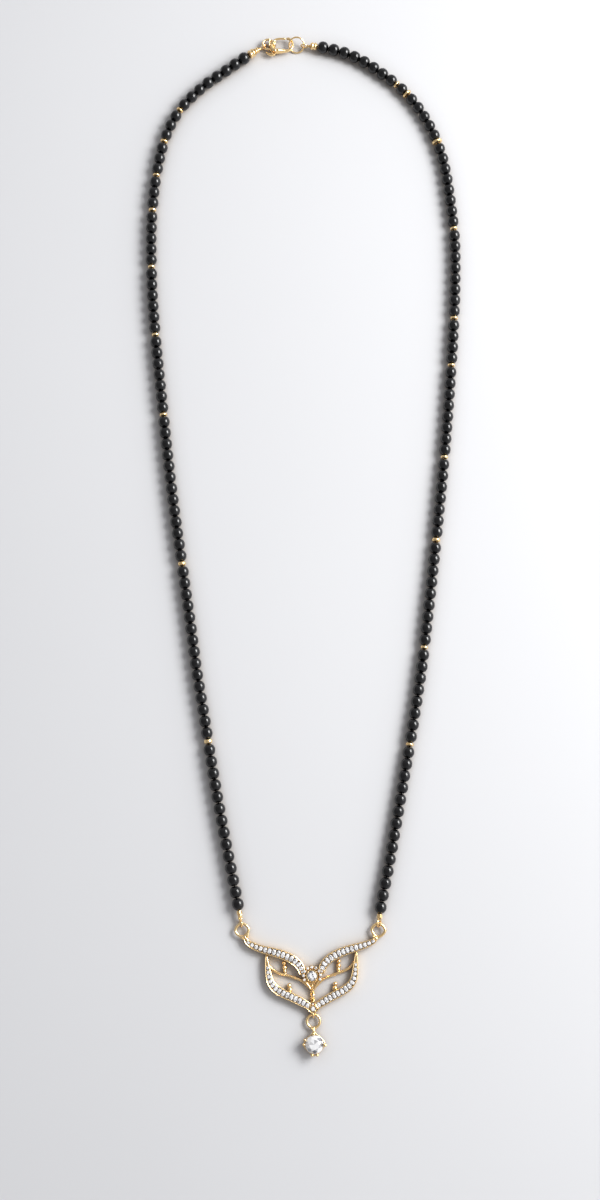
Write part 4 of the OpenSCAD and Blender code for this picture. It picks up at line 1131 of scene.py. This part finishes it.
def dropParts():
    # Ring, neck with two cheeks and two feet, square gallery, round base and the prongs with their balls
    at, hangs = np.array([0, dropY, 0]), dropRingY - dropRingRadius
    reach = stones["drop"] / 2 + stones["gap"] + drop["prong"] / 2 + 0.08
    corner, galleryZ = reach + 0.02, dropZ - drop["galleryDown"] + drop["gallery"] / 2
    t = around(60)
    loop = at + circled(t, corner * cornered(t, drop["galleryPower"]), galleryZ)
    baseRadius, baseWire = drop["base"] * stones["drop"], drop["baseWire"] * drop["prong"]
    neckStart = np.array([0, hangs, bail["z"]])
    neckEnd = np.array([0, dropY + corner - 0.1, galleryZ])
    waist = drop["ringWire"] * (drop["neckWide"] - drop["neckWaist"] * np.sin(np.pi * np.linspace(0, 1, 14)))
    parts = [
        ring([0, dropRingY, bail["z"]], dropRingRadius, drop["ringWire"], count=72),
        carried(loop, oval(drop["gallery"], drop["gallery"] * 1.1, 12, 2.6), loop=True),
        ring([0, dropY, baseWire / 2], baseRadius, baseWire, count=48, sides=14, flat=0.98),
        wire(between(neckStart, neckEnd, 14), waist, 14, up=(1, 0, 0)),
    ]
    meeting = (neckStart + neckEnd) / 2
    for turn in (-drop["cheekTurn"], drop["cheekTurn"]):
        side = circled(turn - np.pi / 2, dropRingRadius, bail["z"]) + [0, dropRingY, 0]
        foot = neckEnd + [turn * drop["footOut"], -0.5, 0]
        parts.append(rod(side, meeting, drop["ringWire"] * 0.8, drop["ringWire"] * 0.7, 14))
        parts.append(rod(meeting, foot, drop["ringWire"] * 0.6, drop["gallery"], 12))
    for angle, share, ballShare in drop["prongs"]:
        out = circled(np.radians(angle))
        rows = np.array([[baseRadius, baseWire / 2], [reach * 0.82, dropZ - 0.75], [reach, dropZ - 0.1],
                         [reach * 0.98, dropZ + 0.35]])
        line = smoothed(rows[:, :1] * out + rows[:, 1:] * [0, 0, 1], 7) + at
        parts.append(wire(line, drop["prong"] * share, up=np.cross(out, [0, 0, 1])))
        parts.append(grains([line[-1]], drop["prong"] * ballShare * 0.57, 0.95, 11, 18))
    return parts


makePiece("dropSetting", [onPendant(p) for p in dropParts()], gold, ["drop_setting"])
bigStone("dropStone", stones["drop"], dropY, dropZ, "drop_stone")
print("drop made")


# End links

def barrel(length, width, ribs):
    # Drilled, its radius falling by sqrt(1 - 0.55 * |2x|^4.5), with grooves |cos(pi * ribs * x)|^3
    x = np.linspace(-0.5, 0.5, 33)
    bulge = np.sqrt(np.clip(1 - (np.abs(x) * 2)**4.5 * 0.55, 0, 1))
    groove = 1 - 0.2 * np.abs(np.cos(np.pi * ribs * x))**3 * (np.abs(x) < 0.45) if ribs else 1 + 0 * x
    outside = np.stack([x * length, bulge * groove * width / 2], -1)
    inside = [[side * (0.5 * length - 0.04), strings["holeWidth"] / 2] for side in (1, -1)]
    return turned(np.vstack([outside, inside]), 36, loop=True)


def strandPair(start, end, out, width, turns):
    # Two wires side by side: out * (cos f, sin f) about the line from start to end, f growing by the turns
    bend = np.sqrt(np.clip(1 - np.linspace(-1, 1, 30)**6, 0, 1)) * out
    return [wire(wound(between(start, end, 30), bend, turns, first), width) for first in (0, np.pi)]


def linkParts(at, inner, threadZ, pieces, loopZ, roll, ribs, turns):
    # Loop on edge, a short stalk with two turns of wire, then the gold pieces on the thread
    def strung(x, length, width, ribs):     # one gold piece from x on
        return placed(barrel(length, width, ribs), facing([[1.0, 0, 0]]), [[x + length / 2, 0, threadZ]])

    first, size = pieces[0], loops["wire"]
    start, end = np.array([loopRadius, 0, loopZ]), np.array([first[0] + 0.25, 0, threadZ])
    stalk = between(start, end, 5)[[1, 3]]      # a quarter in from each end
    coil = wound(between(*stalk, 40), loops["coilRadius"], loops["coilTurns"])
    parts = [
        ring((0, 0, loopZ), loopRadius, size, circled(np.radians(roll))[[2, 0, 1]], 48, 14),
        rod(start, end, size * 1.3, size * 1.6, 14),
        wire(coil, loops["coilWire"], 8, up=(1, 0.2, 0.1)),
    ]
    if not ribs:
        reach = first[0] + first[1]
        ends = [np.array([x, 0, threadZ]) for x in (loopRadius + 0.05, reach - 0.02)]
        parts += strandPair(*ends, (first[2] - loops["pairWire"]) / 2, loops["pairWire"], turns)
        parts.append(strung(reach - loops["collar"], loops["collar"], first[2] - 0.1, 0))
    slim = 1 if ribs else loops["pairSlim"]       # under the pair of wires
    parts += [strung(x, length, width * slim, ribs) for x, length, width in pieces]
    angle = np.degrees(angleTo(at, inner))
    return [settled((spun(p[0], angle) + [*at, 0], p[1])) for p in parts]


for which in sideOf:
    walk = walks[which]
    turns = loops["pairTurns"] if which == "left" else 0.0
    for part, name, node, loopZ, roll, ribs in (
        ("first", "endLink", "end_link_", eyelets["z"], loops["roll"][which], 0),
        ("last", "claspLink", "clasp_link_", clasp["z"], 0.0, 2),
    ):
        pieces = endPieces[part][which]
        s = np.array([0.0, pieces[-1][0] + pieces[-1][1]])
        s = s if part == "first" else walk[0][-1] - s
        at, inner = pointAt(walk, s)[:, :2]
        parts = linkParts(at, inner, beadSize(walk, s[0]) / 2, pieces, loopZ, roll, ribs, turns)
        makePiece(name + which.title(), parts, gold, [node + which])
print("links made")


# Clasp

def atClasp(part):
    # From the lever's pivot to the clasp's place
    return settled((part[0] + [pivotAt[0], pivotAt[1], clasp["z"]], part[1]))


spineY, topY = -clasp["halfWidth"] - 0.1, clasp["halfWidth"] - 0.1
noseX = clasp["reach"] - clasp["noseBack"]
slotHalf = clasp["leverTall"] / 2 + clasp["slotGap"]


def claspParts():
    # Tail ring, claw from spine to nose, heel, pin, and on both faces a cheek, a boss and a rivet
    reach, spine, bowl = clasp["reach"], clasp["spine"], clasp["bowl"]
    half = clasp["tall"] / 2
    tail = np.array(clasp["tailAt"]) - pivotAt
    line = [
        [0.78, spineY, spine], [1.2, spineY - 0.05, spine], [2.4, spineY + 0.02, spine * 0.9],
        [reach - 1.5, spineY + 0.12, (spine + bowl) / 2], [reach - 0.4, spineY + 0.6, bowl],
        [reach, spineY + 1.5, bowl], [reach - 0.02, 0.6, bowl], [reach - 0.35, 1.3, bowl * 1.1],
        [reach - 0.8, topY - 0.08, bowl * 1.3], [noseX, topY, bowl * 1.25], [noseX - 0.42, topY, bowl * 0.9],
    ]
    heights = ([0, 0.08, 0.2, 0.32, 0.45, 1], [clasp["tall"], clasp["tall"] * 0.98, 1.45, 0.85, 0.56, 0.52])
    heel = smoothed([[-0.75, 1.35, 0.42], [-0.95, 0.7, 0.46], [-0.98, -0.1, 0.46], [-1.02, -0.8, 0.44]], 6)
    parts = [
        ring([*tail, 0], tailRadius, clasp["tailWire"]),
        bar(smoothed(line, 6), heights, 0, 90, 18, 2.6, 0.12),
        bar(heel, clasp["tall"] - 0.06, 0, 30, 14, 3.2),
    ]
    cheek = smoothed([
        [-0.42, 0.42, 0.66], [-0.46, -0.3, 0.76], [-0.46, -1, 0.8], [-0.22, -1.62, 0.88], [0.35, -1.95, 1.0],
        [0.95, -2, 1.06],
    ], 6)
    plate = bar(cheek, half - slotHalf, (half + slotHalf) / 2, 44, 16, 2.6)
    cap = pad(circled(around(36), clasp["boss"])[::-1, :2], slotHalf, half, 0.24)
    rivet = turned([[slotHalf, 0.3], [half - 0.02, 0.3], [half + 0.03, 0.24], [half + 0.06, 0.12]], 24)
    for points, faces in (plate, cap, rivet):
        parts += [(points, faces), outward(points * [1, 1, -1], faces)]
    pin = [[side * (slotHalf + 0.1), clasp["pin"] / 2] for side in (-1, 1)]
    return [*parts, turned(pin, 28)]


def leverParts():
    # Hub round the pin, the arm with its gate, and the trigger with its thumb tab
    gate, h, bore = clasp["gate"], clasp["leverTall"] / 2, clasp["pin"] / 2 + clasp["pinGap"]
    hub = bore + clasp["hub"]
    gateEnd = noseX - clasp["bowl"] / 2 - gate / 2 - 0.02
    arm = [[0.1, 0.35, gate * 0.8], [0.16, 0.8, gate], [0.55, 1.4, gate], [1.3, topY - 0.03, gate],
           [2.4, topY + 0.05, gate], [gateEnd, topY - 0.01, gate]]
    trigger = [[0, -0.38, 0.5], [-0.05, -0.9, 0.55], [-0.15, -1.8, 0.55], [-0.3, -2.9, 0.6]]
    tab = [[-2.02, -2.28, 0.2], [-1.5, -2.66, 0.56], [-0.75, -2.95, 0.78], [0, -3.06, 0.7], [0.62, -3, 0.26]]
    hubRows = [[-h, bore], [-h, hub - 0.05], [-h + 0.05, hub], [h - 0.05, hub], [h, hub - 0.05], [h, bore]]
    flat = h * 2 * 0.98
    bars = ((arm, flat, 60, 16, 2.8), (trigger, flat, 30, 14, 3), (tab, clasp["tabTall"], 40, 16, 2.2))
    return [turned(hubRows, 40, loop=True),
            *(bar(smoothed(rows, 6), height, 0, *values) for rows, height, *values in bars)]


makePiece("claspBody", [atClasp(p) for p in claspParts()], gold, ["clasp_body"])
makePiece("claspLever", [atClasp(p) for p in leverParts()], gold, ["clasp_lever"], body="clasp_lever")
tilt = np.radians(clasp["jumpTilt"])
normal = (0, -np.sin(tilt), np.cos(tilt))
jump = ring([*jumpAt, clasp["z"]], jumpRadius, clasp["jumpWire"], normal, 90, 14, *clasp["jumpArc"])
makePiece("jumpRing", [settled(jump)], gold, ["jump_ring"])
print("clasp made")
